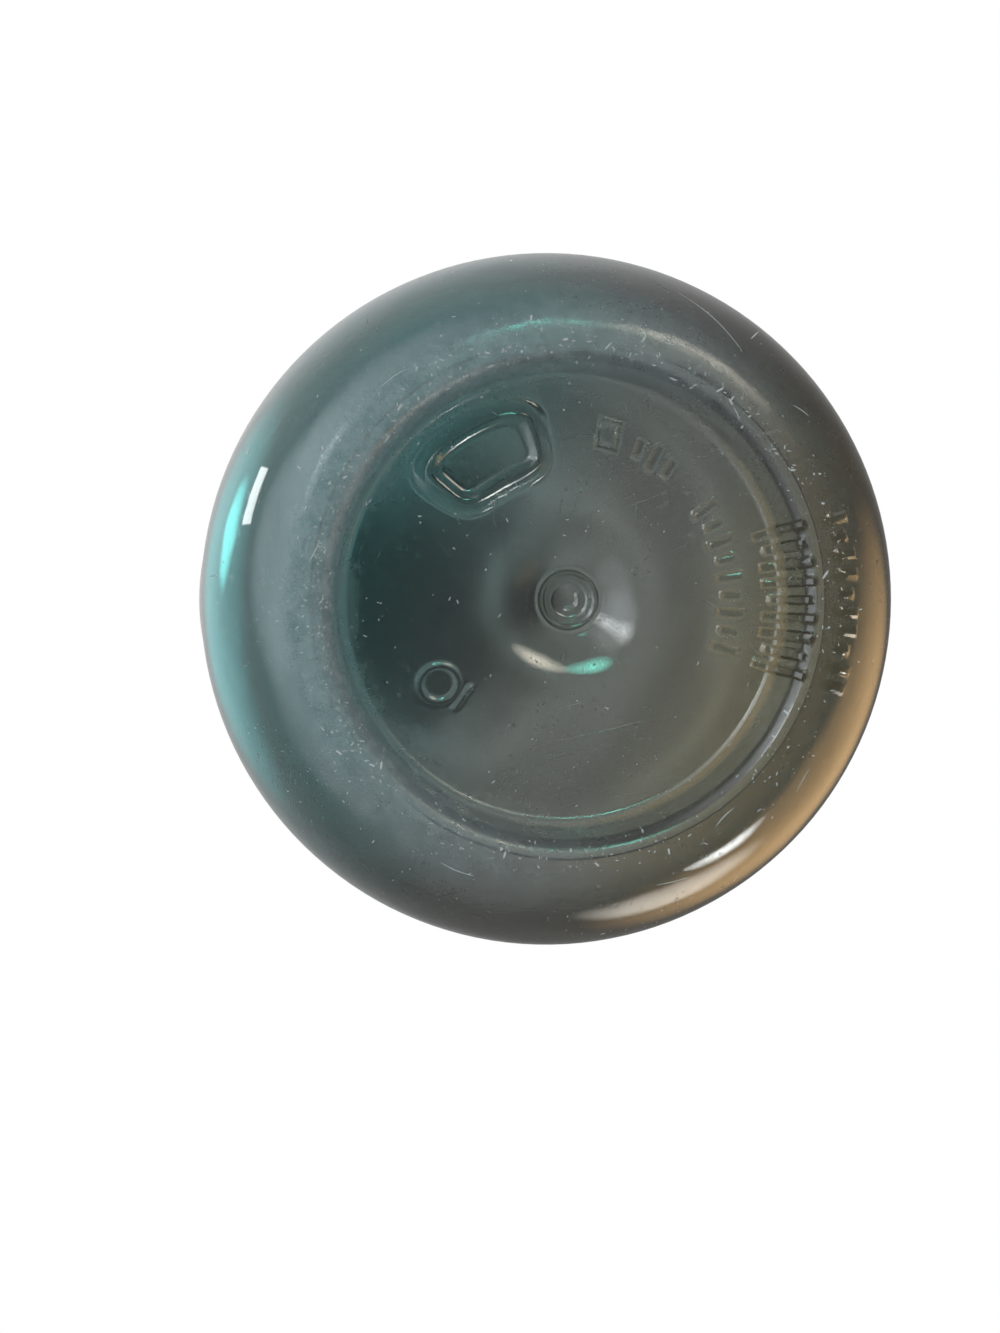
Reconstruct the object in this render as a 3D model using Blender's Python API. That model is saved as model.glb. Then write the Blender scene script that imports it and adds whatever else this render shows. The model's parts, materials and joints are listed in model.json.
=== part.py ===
"""Reusable plastic water bottle with a push-button flip-top closure and a carry loop.

Metres, +Z up. The bottle stands on the ring under its base at z = 0, and its axis is the Z axis. The
closure's hinge is at the back, +Y, its button at the front, -Y, and the loop's pivots at +X and -X.
"""

import math

import bmesh
import bpy
from mathutils import Matrix, Vector

# Body of the bottle, from the standing ring up
BODY_R = 0.0420  # outside radius just above the heel
LOWER_TOP_R = 0.0413  # outside radius where the lower wall ends
GRIP_R = 0.0378  # outside radius of the waist
UPPER_R = 0.0405  # outside radius under the shoulder
WALL = 0.0018
HEEL_H = 0.0210
LOWER_H = 0.0710
BLEND_H = 0.0200  # height of each blend into and out of the waist
GRIP_H = 0.0360
UPPER_H = 0.0180
SHOULDER_H = 0.0260
NECK_H = 0.0200

# Underside of the base
RING_OUT_R = 0.0300  # outer edge of the flat standing ring
RING_W = 0.0016
RECESS_H = 0.0070
RECESS_RUN = 0.0022  # how far the recess wall leans inwards
CROWN_H = 0.0012  # how much the disc rises towards its middle
BOWL_R = 0.0086
BOWL_H = 0.0034
BOWL_RUN = 0.0038
PIP_R = 0.0037
PIP_H = 0.0008
STEEP_WALL = 0.7  # share of the wall that is left where the base is steep

# Boss with a framed window, on the disc of the base
BOSS_IN_R = 0.0150
BOSS_OUT_R = 0.0236
BOSS_PLACE = math.radians(-119.5)  # its middle, round the base
BOSS_SPAN = math.radians(42)
BOSS_DROP = 0.0005  # its face below the edge of the disc
BOSS_FRAME_W = 0.0015
WINDOW_DEPTH = 0.0004

# Neck and its thread
NECK_R = 0.0232  # outside radius at the root of the thread
NECK_WALL = 0.0026
BEAD_R = 0.0258
BEAD_H = 0.0020
BEAD_FOOT = 0.0010  # plain neck between the shoulder and the bead
LIP_BEVEL = 0.0005
THREAD_PITCH = 0.0055
THREAD_TURNS = 1.25
THREAD_H = 0.0014  # radial height of a ridge
THREAD_ROOT_W = 0.0024
THREAD_CREST_W = 0.0014
THREAD_TOP = 0.0030  # from the lip down to the thread's last turn
THREAD_FADE = math.radians(30)  # arc over which a ridge's ends die away
THREAD_END = 0.02  # share of its height that a ridge keeps at its very end
THREAD_SINK = 0.0009  # how deep a ridge is rooted in its wall
THREAD_GAP = 0.00035

# Screw collar, with its deck and spout
COLLAR_WALL = 0.0030
SKIRT_GAP = 0.0012  # between the bead and the skirt
SKIRT_BEVEL = 0.0007
SCALLOP_H = 0.0006
SCALLOP_LOW = 0.0025  # from the skirt's lower edge to the scallops
SCALLOP_BAND_H = 0.0100
DECK_T = 0.0040
DECK_BEVEL = 0.0010
SPOUT_R = 0.0115
SPOUT_BORE_R = 0.0086
SPOUT_H = 0.0115
SPOUT_LIP = 0.0006  # how far the spout's lip stands out
SPOUT_LIP_H = 0.0014
SPOUT_FOOT = 0.0012

# Gasket between the neck's lip and the deck
GASKET_T = 0.0019
SEAT = 0.0003  # gap between pieces that touch in the real bottle

# Flip cap and its plug
CAP_STEP = 0.00145  # the cap's side stands this far inside the collar's
CAP_WALL = 0.0020
CAP_SIDE_H = 0.0095
CAP_DOME_H = 0.0098
CAP_DOME_FLAT = 3.2  # a higher number gives a flatter top
CAP_DOME_EDGE = 2.2  # a higher number gives a fuller edge
CAP_RIM_GAP = 0.0004  # between the cap and what it closes over
SOCKET_R = 0.0073
SOCKET_WALL = 0.0020
PLUG_FLANGE_R = 0.0122
PLUG_FLANGE_T = 0.0020
PLUG_BOSS_H = 0.0023
PLUG_BOSS_GAP = 0.0009  # round the boss inside the spout, which lets it swing out
PLUG_TAPER = 0.0007

# Hinge at the back
HINGE_STANDOFF = 0.0020  # axis behind the cap's side
HINGE_RISE = 0.0030  # axis above the deck
EAR_R = 0.0033
EAR_W = 0.0036
KNUCKLE_W = 0.0090
HINGE_SIDE_GAP = 0.0004
KNUCKLE_TURN = math.radians(100)  # the eye is round this far above and below its rear point
PIN_R = 0.0014
PIN_FIT = 0.0002

# Latch housing and button at the front
HOUSE_W = 0.0160
HOUSE_PROUD = 0.0004  # the housing stands this far before the cap's side
HOUSE_DEPTH = 0.0143
HOUSE_H = 0.0090
HOUSE_WALL = 0.0017
HOUSE_ROOF = 0.0013
BUTTON_FIT = 0.0003
BUTTON_PROUD = 0.0020
BUTTON_FACE_T = 0.0025
BUTTON_RAIL_W = 0.0016
BUTTON_BAR_T = 0.0012
BUTTON_TRAVEL = 0.0015
TONGUE_W = 0.0068
TONGUE_T = 0.0018
TONGUE_PLAY = 0.0009  # from the pressed button's face to the tongue
SPRING_R = 0.0018
SPRING_WIRE_R = 0.0002
SPRING_CURLS = 3.5
CURL_POINTS = 9

# Carry loop and its rivets
PIVOT_DROP = 0.0050  # pivots below the top of the deck
PAD_R = 0.0048
PAD_PROUD = 0.0019
STRAP_T = 0.0032
STRAP_W = 0.0090
ARM_H = 0.0140
EYE_R = 0.0060
LOOP_GAP = 0.0003
LOOP_REST_GAP = 0.0004  # between the loop and the shoulder that it lies on
LOOP_STEEPEST = math.radians(80)
RIVET_R = 0.0020
RIVET_FIT = 0.0002
RIVET_DEPTH = 0.0027
RIVET_HEAD_R = 0.0038
RIVET_HEAD_H = 0.0015
RIVET_EDGE_H = 0.0005

# Vent valve in the deck
VALVE_X = 0.0180
VALVE_R = 0.0034
VALVE_T = 0.0010
VALVE_EDGE_T = 0.0003
VALVE_STEM_R = 0.0013
VALVE_FIT = 0.0002
VALVE_BULB_R = 0.0022
VALVE_BULB_H = 0.0011

# Faces round each turned piece
BODY_SIDES = 48
COLLAR_SIDES = 48
SMALL_SIDES = 24
PIN_SIDES = 16

# Heights that follow from the sizes above
LOWER_TOP_Z = HEEL_H + LOWER_H
GRIP_LOW_Z = LOWER_TOP_Z + BLEND_H
GRIP_HIGH_Z = GRIP_LOW_Z + GRIP_H
UPPER_LOW_Z = GRIP_HIGH_Z + BLEND_H
SHOULDER_Z = UPPER_LOW_Z + UPPER_H
NECK_Z = SHOULDER_Z + SHOULDER_H
BEAD_TOP_Z = NECK_Z + BEAD_FOOT + BEAD_H
LIP_Z = NECK_Z + NECK_H
DECK_UNDER_Z = LIP_Z + SEAT + GASKET_T + SEAT
DECK_Z = DECK_UNDER_Z + DECK_T
SKIRT_Z = BEAD_TOP_Z + SKIRT_GAP
SPOUT_TOP_Z = DECK_Z + SPOUT_H
CAP_RIM_Z = DECK_Z + CAP_RIM_GAP
CAP_SIDE_Z = CAP_RIM_Z + CAP_SIDE_H
HINGE_Z = DECK_Z + HINGE_RISE
HOUSE_TOP_Z = DECK_Z + HOUSE_H
PIVOT_Z = DECK_Z - PIVOT_DROP

# Radii and widths that follow from the sizes above
NECK_BORE_R = NECK_R - NECK_WALL
THREAD_CREST_R = NECK_R + THREAD_H
COLLAR_BORE_R = THREAD_CREST_R + THREAD_GAP
COLLAR_R = COLLAR_BORE_R + COLLAR_WALL
CAP_R = COLLAR_R - CAP_STEP
PAD_X = COLLAR_R + PAD_PROUD
ARM_IN_X = PAD_X + LOOP_GAP
ARM_OUT_X = ARM_IN_X + STRAP_T
HINGE_Y = CAP_R + HINGE_STANDOFF
EAR_IN_X = KNUCKLE_W / 2 + HINGE_SIDE_GAP
EAR_OUT_X = EAR_IN_X + EAR_W
HOUSE_FRONT_Y = -CAP_R - HOUSE_PROUD
HOUSE_BACK_Y = HOUSE_FRONT_Y + HOUSE_DEPTH
CAVITY_W = HOUSE_W - 2 * HOUSE_WALL
CAVITY_LOW_Z = DECK_Z + HOUSE_WALL
CAVITY_HIGH_Z = HOUSE_TOP_Z - HOUSE_ROOF
CAVITY_BACK_Y = HOUSE_BACK_Y - HOUSE_WALL
BUTTON_FACE_Y = HOUSE_FRONT_Y - BUTTON_PROUD
TONGUE_FRONT_Y = BUTTON_FACE_Y + BUTTON_FACE_T + BUTTON_TRAVEL + TONGUE_PLAY
TONGUE_BACK_Y = TONGUE_FRONT_Y + TONGUE_T
BUTTON_BAR_Y = TONGUE_BACK_Y + BUTTON_TRAVEL + TONGUE_PLAY

CUTTER_REACH = 0.0100  # how far a cutter runs past what it cuts
MERGE = 1e-7  # points closer than this are one
HALVINGS = 24  # steps of the search for the loop's rest


def clear_scene():
    for obj in list(bpy.data.objects):
        bpy.data.objects.remove(obj, do_unlink=True)


def plastic(name, colour, roughness, metallic=0.0, transmission=0.0):
    material = bpy.data.materials.new(name)
    material.use_nodes = True
    shader = material.node_tree.nodes["Principled BSDF"]
    shader.inputs["Base Color"].default_value = (*colour, 1.0)
    shader.inputs["Roughness"].default_value = roughness
    shader.inputs["Metallic"].default_value = metallic
    shader.inputs["Transmission Weight"].default_value = transmission
    return material


def add_object(name, data, material=None):
    obj = bpy.data.objects.new(name, data)
    bpy.context.scene.collection.objects.link(obj)
    if material:
        data.materials.append(material)
    return obj


def finish_mesh(name, bm, material=None, sharp=math.radians(35)):
    """Makes an object of a bmesh, with its faces pointing out and its round sides smooth."""
    bmesh.ops.remove_doubles(bm, verts=bm.verts, dist=MERGE)
    bmesh.ops.recalc_face_normals(bm, faces=bm.faces)
    mesh = bpy.data.meshes.new(name)
    bm.to_mesh(mesh)
    bm.free()
    mesh.shade_smooth()
    mesh.set_sharp_from_angle(angle=sharp)
    return add_object(name, mesh, material)


def turned(name, outline, sides, material=None):
    """A solid of revolution about Z from (radius, height) points, closed by the axis or by itself."""
    bm = bmesh.new()
    verts = [bm.verts.new((r, 0, z)) for r, z in outline]
    edges = [bm.edges.new(pair) for pair in zip(verts, verts[1:])]
    if outline[0][0] > 0:
        edges.append(bm.edges.new((verts[-1], verts[0])))
    bmesh.ops.spin(
        bm,
        geom=verts + edges,
        cent=(0, 0, 0),
        axis=(0, 0, 1),
        angle=2 * math.pi,
        steps=sides,
        use_merge=True,
    )
    return finish_mesh(name, bm, material)


def prism(name, outline, low_x, high_x, material=None):
    """A solid with a (y, z) outline, extruded along X."""
    bm = bmesh.new()
    face = bm.faces.new([bm.verts.new((low_x, y, z)) for y, z in outline])
    grown = bmesh.ops.extrude_face_region(bm, geom=[face])
    moved = [v for v in grown["geom"] if isinstance(v, bmesh.types.BMVert)]
    bmesh.ops.translate(bm, verts=moved, vec=(high_x - low_x, 0, 0))
    return finish_mesh(name, bm, material)


def slab(name, outline, low_z, high_z, material=None):
    """A solid with an (x, y) outline, extruded upwards."""
    bm = bmesh.new()
    face = bm.faces.new([bm.verts.new((x, y, low_z)) for x, y in outline])
    grown = bmesh.ops.extrude_face_region(bm, geom=[face])
    moved = [v for v in grown["geom"] if isinstance(v, bmesh.types.BMVert)]
    bmesh.ops.translate(bm, verts=moved, vec=(0, 0, high_z - low_z))
    return finish_mesh(name, bm, material)


def block(name, low, high, material=None):
    low, high = Vector(low), Vector(high)
    bm = bmesh.new()
    bmesh.ops.create_cube(bm, size=1.0)
    bmesh.ops.scale(bm, verts=bm.verts, vec=high - low)
    bmesh.ops.translate(bm, verts=bm.verts, vec=(low + high) / 2)
    return finish_mesh(name, bm, material)


def bar(name, radius, start, end, sides, material=None):
    """A round bar from one point to another."""
    start, end = Vector(start), Vector(end)
    bm = bmesh.new()
    bmesh.ops.create_cone(
        bm,
        cap_ends=True,
        segments=sides,
        radius1=radius,
        radius2=radius,
        depth=(end - start).length,
    )
    turn = Vector((0, 0, 1)).rotation_difference(end - start).to_matrix().to_4x4()
    bmesh.ops.transform(bm, matrix=Matrix.Translation((start + end) / 2) @ turn, verts=bm.verts)
    return finish_mesh(name, bm, material)


def combine(target, operand, operation):
    """Joins a guide solid to the target, or cuts it away, and hides the guide."""
    modifier = target.modifiers.new(operand.name, "BOOLEAN")
    modifier.operation = operation
    modifier.object = operand
    operand.hide_render = True
    operand.display_type = "WIRE"


def soften(obj, width, segments=2, sharp=math.radians(50)):
    modifier = obj.modifiers.new("soft_edges", "BEVEL")
    modifier.width = width
    modifier.segments = segments
    modifier.limit_method = "ANGLE"
    modifier.angle_limit = sharp


def set_origin(obj, origin, parent=None):
    """Moves the object's origin to a point of the world, and hangs it on a parent there."""
    obj.data.transform(Matrix.Translation(-Vector(origin)))
    place(obj, origin, parent)


def place(obj, origin, parent=None):
    home = Vector(origin)
    if parent:
        obj.parent = parent
        home = home - world_place(parent)
    obj.location = home


def world_place(obj):
    place_now = obj.location.copy()
    while obj.parent:
        obj = obj.parent
        place_now += obj.location
    return place_now


def axis_empty(name, origin, parent=None):
    empty = add_object(name, None)
    place(empty, origin, parent)
    return empty


def ease(low, high, value):
    """Rises smoothly from 0 at low to 1 at high."""
    t = min(max((value - low) / (high - low), 0.0), 1.0)
    return t * t * (3 - 2 * t)


def stations(low, high, count):
    return [low + (high - low) * i / count for i in range(count + 1)]


def underside_z(radius, grow=0.0):
    """Height of the base under the bottle. With grow, the steps move out, as the inside follows them."""
    ring_in = RING_OUT_R - RING_W
    recess = 1 - ease(ring_in - RECESS_RUN + grow, ring_in + grow, radius)
    bowl = 1 - ease(BOWL_R - BOWL_RUN + grow, BOWL_R + grow, radius)
    crown = CROWN_H * max(0.0, 1 - (radius / (ring_in - RECESS_RUN)) ** 2)
    return RECESS_H * recess + crown + BOWL_H * bowl


def base_radii(grow=0.0, steps=4):
    """Radii from the bowl's floor to the standing ring, close together where the base is steep."""
    ring_in = RING_OUT_R - RING_W + grow
    bowl = stations(BOWL_R - BOWL_RUN + grow, BOWL_R + grow, steps)
    disc = stations(BOWL_R + grow, ring_in - RECESS_RUN, 2)[1:]
    return bowl + disc + stations(ring_in - RECESS_RUN, ring_in, steps)[1:]


def heel_points(wall=0.0, steps=6):
    """Quarter ellipse from the standing ring to the side wall, seen from the middle outwards."""
    run = BODY_R - RING_OUT_R - wall
    rise = HEEL_H - wall
    turns = stations(0, math.pi / 2, steps)
    return [(RING_OUT_R + run * math.sin(t), HEEL_H - rise * math.cos(t)) for t in turns]


def wall_radius(z):
    """Outside radius of the side wall, the waist and the shoulder at a height above the heel."""
    if z <= LOWER_TOP_Z:
        return BODY_R + (LOWER_TOP_R - BODY_R) * (z - HEEL_H) / LOWER_H
    if z <= GRIP_HIGH_Z:
        return LOWER_TOP_R + (GRIP_R - LOWER_TOP_R) * ease(LOWER_TOP_Z, GRIP_LOW_Z, z)
    if z <= SHOULDER_Z:
        return GRIP_R + (UPPER_R - GRIP_R) * ease(GRIP_HIGH_Z, UPPER_LOW_Z, z)
    rise = min((z - SHOULDER_Z) / SHOULDER_H, 1.0)
    return NECK_R + (UPPER_R - NECK_R) * math.sqrt(1 - rise * rise)


def wall_heights(steps=3):
    """Heights of the side wall's rings, from just above the heel to the foot of the neck."""
    blends = stations(LOWER_TOP_Z, GRIP_LOW_Z, steps) + stations(GRIP_HIGH_Z, UPPER_LOW_Z, steps)
    turns = stations(0, math.pi / 2, 2 * steps)
    return blends + [SHOULDER_Z + SHOULDER_H * math.sin(t) for t in turns]


def bottle_outline():
    """Outside from the lip down to the middle of the base, then the inside back up to the lip."""
    pip_z = underside_z(0) - PIP_H
    ring_in = (RING_OUT_R - RING_W, 0)
    outside = [(0, pip_z), (PIP_R - PIP_H, pip_z), (PIP_R, underside_z(PIP_R))]
    outside += [(r, underside_z(r)) for r in base_radii()[:-1]]
    outside += [ring_in] + heel_points() + [(wall_radius(z), z) for z in wall_heights()]
    outside += [
        (NECK_R, NECK_Z + BEAD_FOOT / 2),
        (BEAD_R, NECK_Z + BEAD_FOOT),
        (BEAD_R, BEAD_TOP_Z),
        (NECK_R, BEAD_TOP_Z + BEAD_FOOT / 2),
        (NECK_R, LIP_Z - LIP_BEVEL),
        (NECK_R - LIP_BEVEL, LIP_Z),
        (NECK_BORE_R + LIP_BEVEL, LIP_Z),
        (NECK_BORE_R, LIP_Z - LIP_BEVEL),
    ]
    grow = WALL * STEEP_WALL
    inside = [(0, underside_z(0) + WALL)]
    inside += [(r, underside_z(r, grow) + WALL) for r in base_radii(grow, 3)]
    inside += heel_points(WALL, 4)
    inside_wall = [(wall_radius(z) - WALL, z) for z in wall_heights()]
    inside += [(r, z) for r, z in inside_wall if r > NECK_BORE_R]
    return outside + inside[::-1]


def thread_ridge(name, root_r, crest_r, z):
    """A helical ridge with a trapezoid section, sunk a little into the wall that carries it."""
    steps = round(BODY_SIDES * THREAD_TURNS)
    outwards = 1 if crest_r > root_r else -1
    bm = bmesh.new()
    rings = []
    for i in range(steps + 1):
        angle = 2 * math.pi * i / BODY_SIDES
        fade = min(angle, (2 * math.pi * THREAD_TURNS - angle)) / THREAD_FADE
        height = abs(crest_r - root_r) * min(max(fade, THREAD_END), 1.0)
        middle = z + THREAD_PITCH * i / BODY_SIDES
        foot = root_r - outwards * THREAD_SINK
        top = root_r + outwards * height
        section = [
            (foot, middle - THREAD_ROOT_W / 2),
            (root_r, middle - THREAD_ROOT_W / 2),
            (top, middle - THREAD_CREST_W / 2),
            (top, middle + THREAD_CREST_W / 2),
            (root_r, middle + THREAD_ROOT_W / 2),
            (foot, middle + THREAD_ROOT_W / 2),
        ]
        rings.append(
            [bm.verts.new((r * math.cos(angle), r * math.sin(angle), h)) for r, h in section]
        )
    for ring, following in zip(rings, rings[1:]):
        for k in range(len(ring)):
            j = (k + 1) % len(ring)
            bm.faces.new((ring[k], ring[j], following[j], following[k]))
    bm.faces.new(rings[0])
    bm.faces.new(rings[-1])
    return finish_mesh(name, bm)


def boss_outline(inset=0.0, steps=32, fullness=5):
    """A stretch of a ring with rounded corners, drawn in by an inset all round."""
    middle_r = (BOSS_IN_R + BOSS_OUT_R) / 2
    half_r = (BOSS_OUT_R - BOSS_IN_R) / 2 - inset
    half_turn = BOSS_SPAN / 2 - inset / middle_r
    outline = []
    for t in stations(0, 2 * math.pi, steps)[:-1]:
        across = math.copysign(abs(math.cos(t)) ** (2 / fullness), math.cos(t))
        outwards = math.copysign(abs(math.sin(t)) ** (2 / fullness), math.sin(t))
        turn = BOSS_PLACE + half_turn * across
        radius = middle_r + half_r * outwards
        outline.append((radius * math.cos(turn), radius * math.sin(turn)))
    return outline


def thread_start():
    return LIP_Z - THREAD_TOP - THREAD_PITCH * THREAD_TURNS


def build_bottle(material):
    shell = turned("bottle_shell", bottle_outline(), BODY_SIDES, material)
    ridge = thread_ridge("neck_thread", NECK_R, THREAD_CREST_R, thread_start())
    combine(shell, ridge, "UNION")
    face_z = RECESS_H - BOSS_DROP
    root_z = RECESS_H + WALL / 2
    combine(shell, slab("mould_boss", boss_outline(), face_z, root_z), "UNION")
    low_z, high_z = face_z - CUTTER_REACH, face_z + WINDOW_DEPTH
    window = slab("boss_window", boss_outline(BOSS_FRAME_W), low_z, high_z)
    combine(shell, window, "DIFFERENCE")


def build_gasket(material, closure):
    low_z = LIP_Z + SEAT
    outer_r = COLLAR_BORE_R - 2 * SEAT
    outline = [
        (NECK_BORE_R, low_z),
        (outer_r, low_z),
        (outer_r, low_z + GASKET_T),
        (NECK_BORE_R, low_z + GASKET_T),
    ]
    gasket = turned("neck_gasket", outline, BODY_SIDES, material)
    set_origin(gasket, (0, 0, DECK_Z), closure)


def collar_outline():
    """Up the spout's bore, over its lip, out over the deck, down the skirt and back inside."""
    lip_r = SPOUT_R + SPOUT_LIP
    return [
        (SPOUT_BORE_R, DECK_UNDER_Z),
        (SPOUT_BORE_R, SPOUT_TOP_Z - LIP_BEVEL),
        (SPOUT_BORE_R + LIP_BEVEL, SPOUT_TOP_Z),
        (lip_r - LIP_BEVEL, SPOUT_TOP_Z),
        (lip_r, SPOUT_TOP_Z - LIP_BEVEL),
        (lip_r, SPOUT_TOP_Z - SPOUT_LIP_H),
        (SPOUT_R, SPOUT_TOP_Z - SPOUT_LIP_H - SPOUT_LIP),
        (SPOUT_R, DECK_Z + SPOUT_FOOT),
        (SPOUT_R + SPOUT_FOOT, DECK_Z),
        (COLLAR_R - DECK_BEVEL, DECK_Z),
        (COLLAR_R, DECK_Z - DECK_BEVEL),
        (COLLAR_R, SKIRT_Z + SCALLOP_LOW + SCALLOP_BAND_H + SCALLOP_H),
        (COLLAR_R, SKIRT_Z + SCALLOP_LOW + SCALLOP_BAND_H),
        (COLLAR_R, SKIRT_Z + SCALLOP_LOW),
        (COLLAR_R, SKIRT_Z + SCALLOP_LOW - SCALLOP_H),
        (COLLAR_R, SKIRT_Z + SKIRT_BEVEL),
        (COLLAR_R - SKIRT_BEVEL, SKIRT_Z),
        (COLLAR_BORE_R + SKIRT_BEVEL, SKIRT_Z),
        (COLLAR_BORE_R, SKIRT_Z + SKIRT_BEVEL),
        (COLLAR_BORE_R, DECK_UNDER_Z),
    ]


def scallop(collar):
    """Pushes every other column of the skirt's band out, which leaves a scalloped grip."""
    low_z = SKIRT_Z + SCALLOP_LOW - SCALLOP_H / 2
    high_z = SKIRT_Z + SCALLOP_LOW + SCALLOP_BAND_H + SCALLOP_H / 2
    for vert in collar.data.vertices:
        column = round(math.atan2(vert.co.y, vert.co.x) / (2 * math.pi / COLLAR_SIDES))
        on_skirt = math.hypot(vert.co.x, vert.co.y) > COLLAR_R - SKIRT_BEVEL / 2
        if on_skirt and column % 2 and low_z < vert.co.z < high_z:
            vert.co.xy *= 1 + SCALLOP_H / COLLAR_R


def hinge_block():
    """The block behind the collar that the hinge ears are cut from, rounded about the hinge."""
    foot_z = SKIRT_Z + SCALLOP_LOW + SCALLOP_BAND_H + 2 * SCALLOP_H
    inner_y = HINGE_Y - EAR_R
    turns = stations(0, math.pi, 8)
    top = [(HINGE_Y + EAR_R * math.cos(t), HINGE_Z + EAR_R * math.sin(t)) for t in turns]
    foot = [(inner_y, DECK_Z - DECK_T / 2), (COLLAR_R - COLLAR_WALL / 2, foot_z), (COLLAR_R, foot_z)]
    return prism("hinge_block", top + foot, -EAR_OUT_X, EAR_OUT_X)


def build_collar(material, closure):
    collar = turned("screw_collar", collar_outline(), COLLAR_SIDES, material)
    scallop(collar)
    ridge_z = thread_start() - THREAD_PITCH / 2
    crest_r = COLLAR_BORE_R - THREAD_H
    ridge = thread_ridge("collar_thread", COLLAR_BORE_R, crest_r, ridge_z)
    combine(collar, ridge, "UNION")
    combine(collar, hinge_block(), "UNION")
    house_low = (-HOUSE_W / 2, HOUSE_FRONT_Y, DECK_Z - DECK_T / 2)
    house_high = (HOUSE_W / 2, HOUSE_BACK_Y, HOUSE_TOP_Z)
    combine(collar, block("latch_house", house_low, house_high), "UNION")
    for side, x_sign in (("left", -1), ("right", 1)):
        start = (x_sign * (COLLAR_R - COLLAR_WALL / 2), 0, PIVOT_Z)
        end = (x_sign * PAD_X, 0, PIVOT_Z)
        combine(collar, bar("loop_pad_" + side, PAD_R, start, end, SMALL_SIDES), "UNION")
    cut_latch_house(collar)
    cut_hinge(collar)
    for side, x_sign in (("left", -1), ("right", 1)):
        start = (x_sign * (PAD_X - RIVET_DEPTH - RIVET_FIT), 0, PIVOT_Z)
        end = (x_sign * (PAD_X + CUTTER_REACH), 0, PIVOT_Z)
        hole = bar("rivet_hole_" + side, RIVET_R + RIVET_FIT, start, end, PIN_SIDES)
        combine(collar, hole, "DIFFERENCE")
    start = (VALVE_X, 0, DECK_UNDER_Z - CUTTER_REACH)
    end = (VALVE_X, 0, DECK_Z + CUTTER_REACH)
    hole = bar("valve_hole", VALVE_STEM_R + VALVE_FIT, start, end, PIN_SIDES)
    combine(collar, hole, "DIFFERENCE")
    set_origin(collar, (0, 0, DECK_Z), closure)


def cut_latch_house(collar):
    """Opens the housing at the front for the button and in its roof for the cap's tongue."""
    low = (-CAVITY_W / 2, HOUSE_FRONT_Y - CUTTER_REACH, CAVITY_LOW_Z)
    high = (CAVITY_W / 2, CAVITY_BACK_Y, CAVITY_HIGH_Z)
    combine(collar, block("latch_cavity", low, high), "DIFFERENCE")
    slot_w = TONGUE_W + 4 * BUTTON_FIT
    low = (-slot_w / 2, TONGUE_FRONT_Y - 2 * BUTTON_FIT, (CAVITY_LOW_Z + CAVITY_HIGH_Z) / 2)
    high = (slot_w / 2, TONGUE_BACK_Y + 4 * BUTTON_FIT, HOUSE_TOP_Z + CUTTER_REACH)
    combine(collar, block("latch_slot", low, high), "DIFFERENCE")


def cut_hinge(collar):
    """Parts the hinge ears and bores them for the pin."""
    low = (-EAR_IN_X, HINGE_Y - EAR_R - HINGE_SIDE_GAP, HINGE_Z - EAR_R - 2 * HINGE_SIDE_GAP)
    high = (EAR_IN_X, HINGE_Y + CUTTER_REACH, HINGE_Z + CUTTER_REACH)
    combine(collar, block("ear_gap", low, high), "DIFFERENCE")
    combine(collar, pin_bar("ear_bore", PIN_R + PIN_FIT, EAR_OUT_X + CUTTER_REACH), "DIFFERENCE")


def pin_bar(name, radius, half_length, material=None):
    start = (-half_length, HINGE_Y, HINGE_Z)
    end = (half_length, HINGE_Y, HINGE_Z)
    return bar(name, radius, start, end, PIN_SIDES, material)


def dome_z(radius, wall=0.0):
    """Height of the cap's dome over its side, outside or, with a wall, inside."""
    share = min(radius / (CAP_R - wall), 1.0)
    return CAP_SIDE_Z + (CAP_DOME_H - wall) * (1 - share**CAP_DOME_FLAT) ** (1 / CAP_DOME_EDGE)


def cap_outline():
    """Down the outside of the dome to the rim, then up inside and round the plug's socket."""
    shares = [math.sin(t) ** (2 / CAP_DOME_FLAT) for t in stations(0, math.pi / 2, 6)]
    outside = [(CAP_R * s, dome_z(CAP_R * s)) for s in shares]
    inner_r = CAP_R - CAP_WALL
    inside = [(inner_r * s, dome_z(inner_r * s, CAP_WALL)) for s in reversed(shares[1:])]
    socket_in_r = SOCKET_R - SOCKET_WALL
    socket_z = SPOUT_TOP_Z + SEAT + PLUG_FLANGE_T + SEAT
    ceiling_z = dome_z(0, CAP_WALL)
    socket = [(SOCKET_R, ceiling_z), (SOCKET_R, socket_z), (socket_in_r, socket_z)]
    return (
        outside
        + [(CAP_R, CAP_RIM_Z), (inner_r, CAP_RIM_Z)]
        + inside
        + socket
        + [(socket_in_r, ceiling_z), (0, ceiling_z)]
    )


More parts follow.
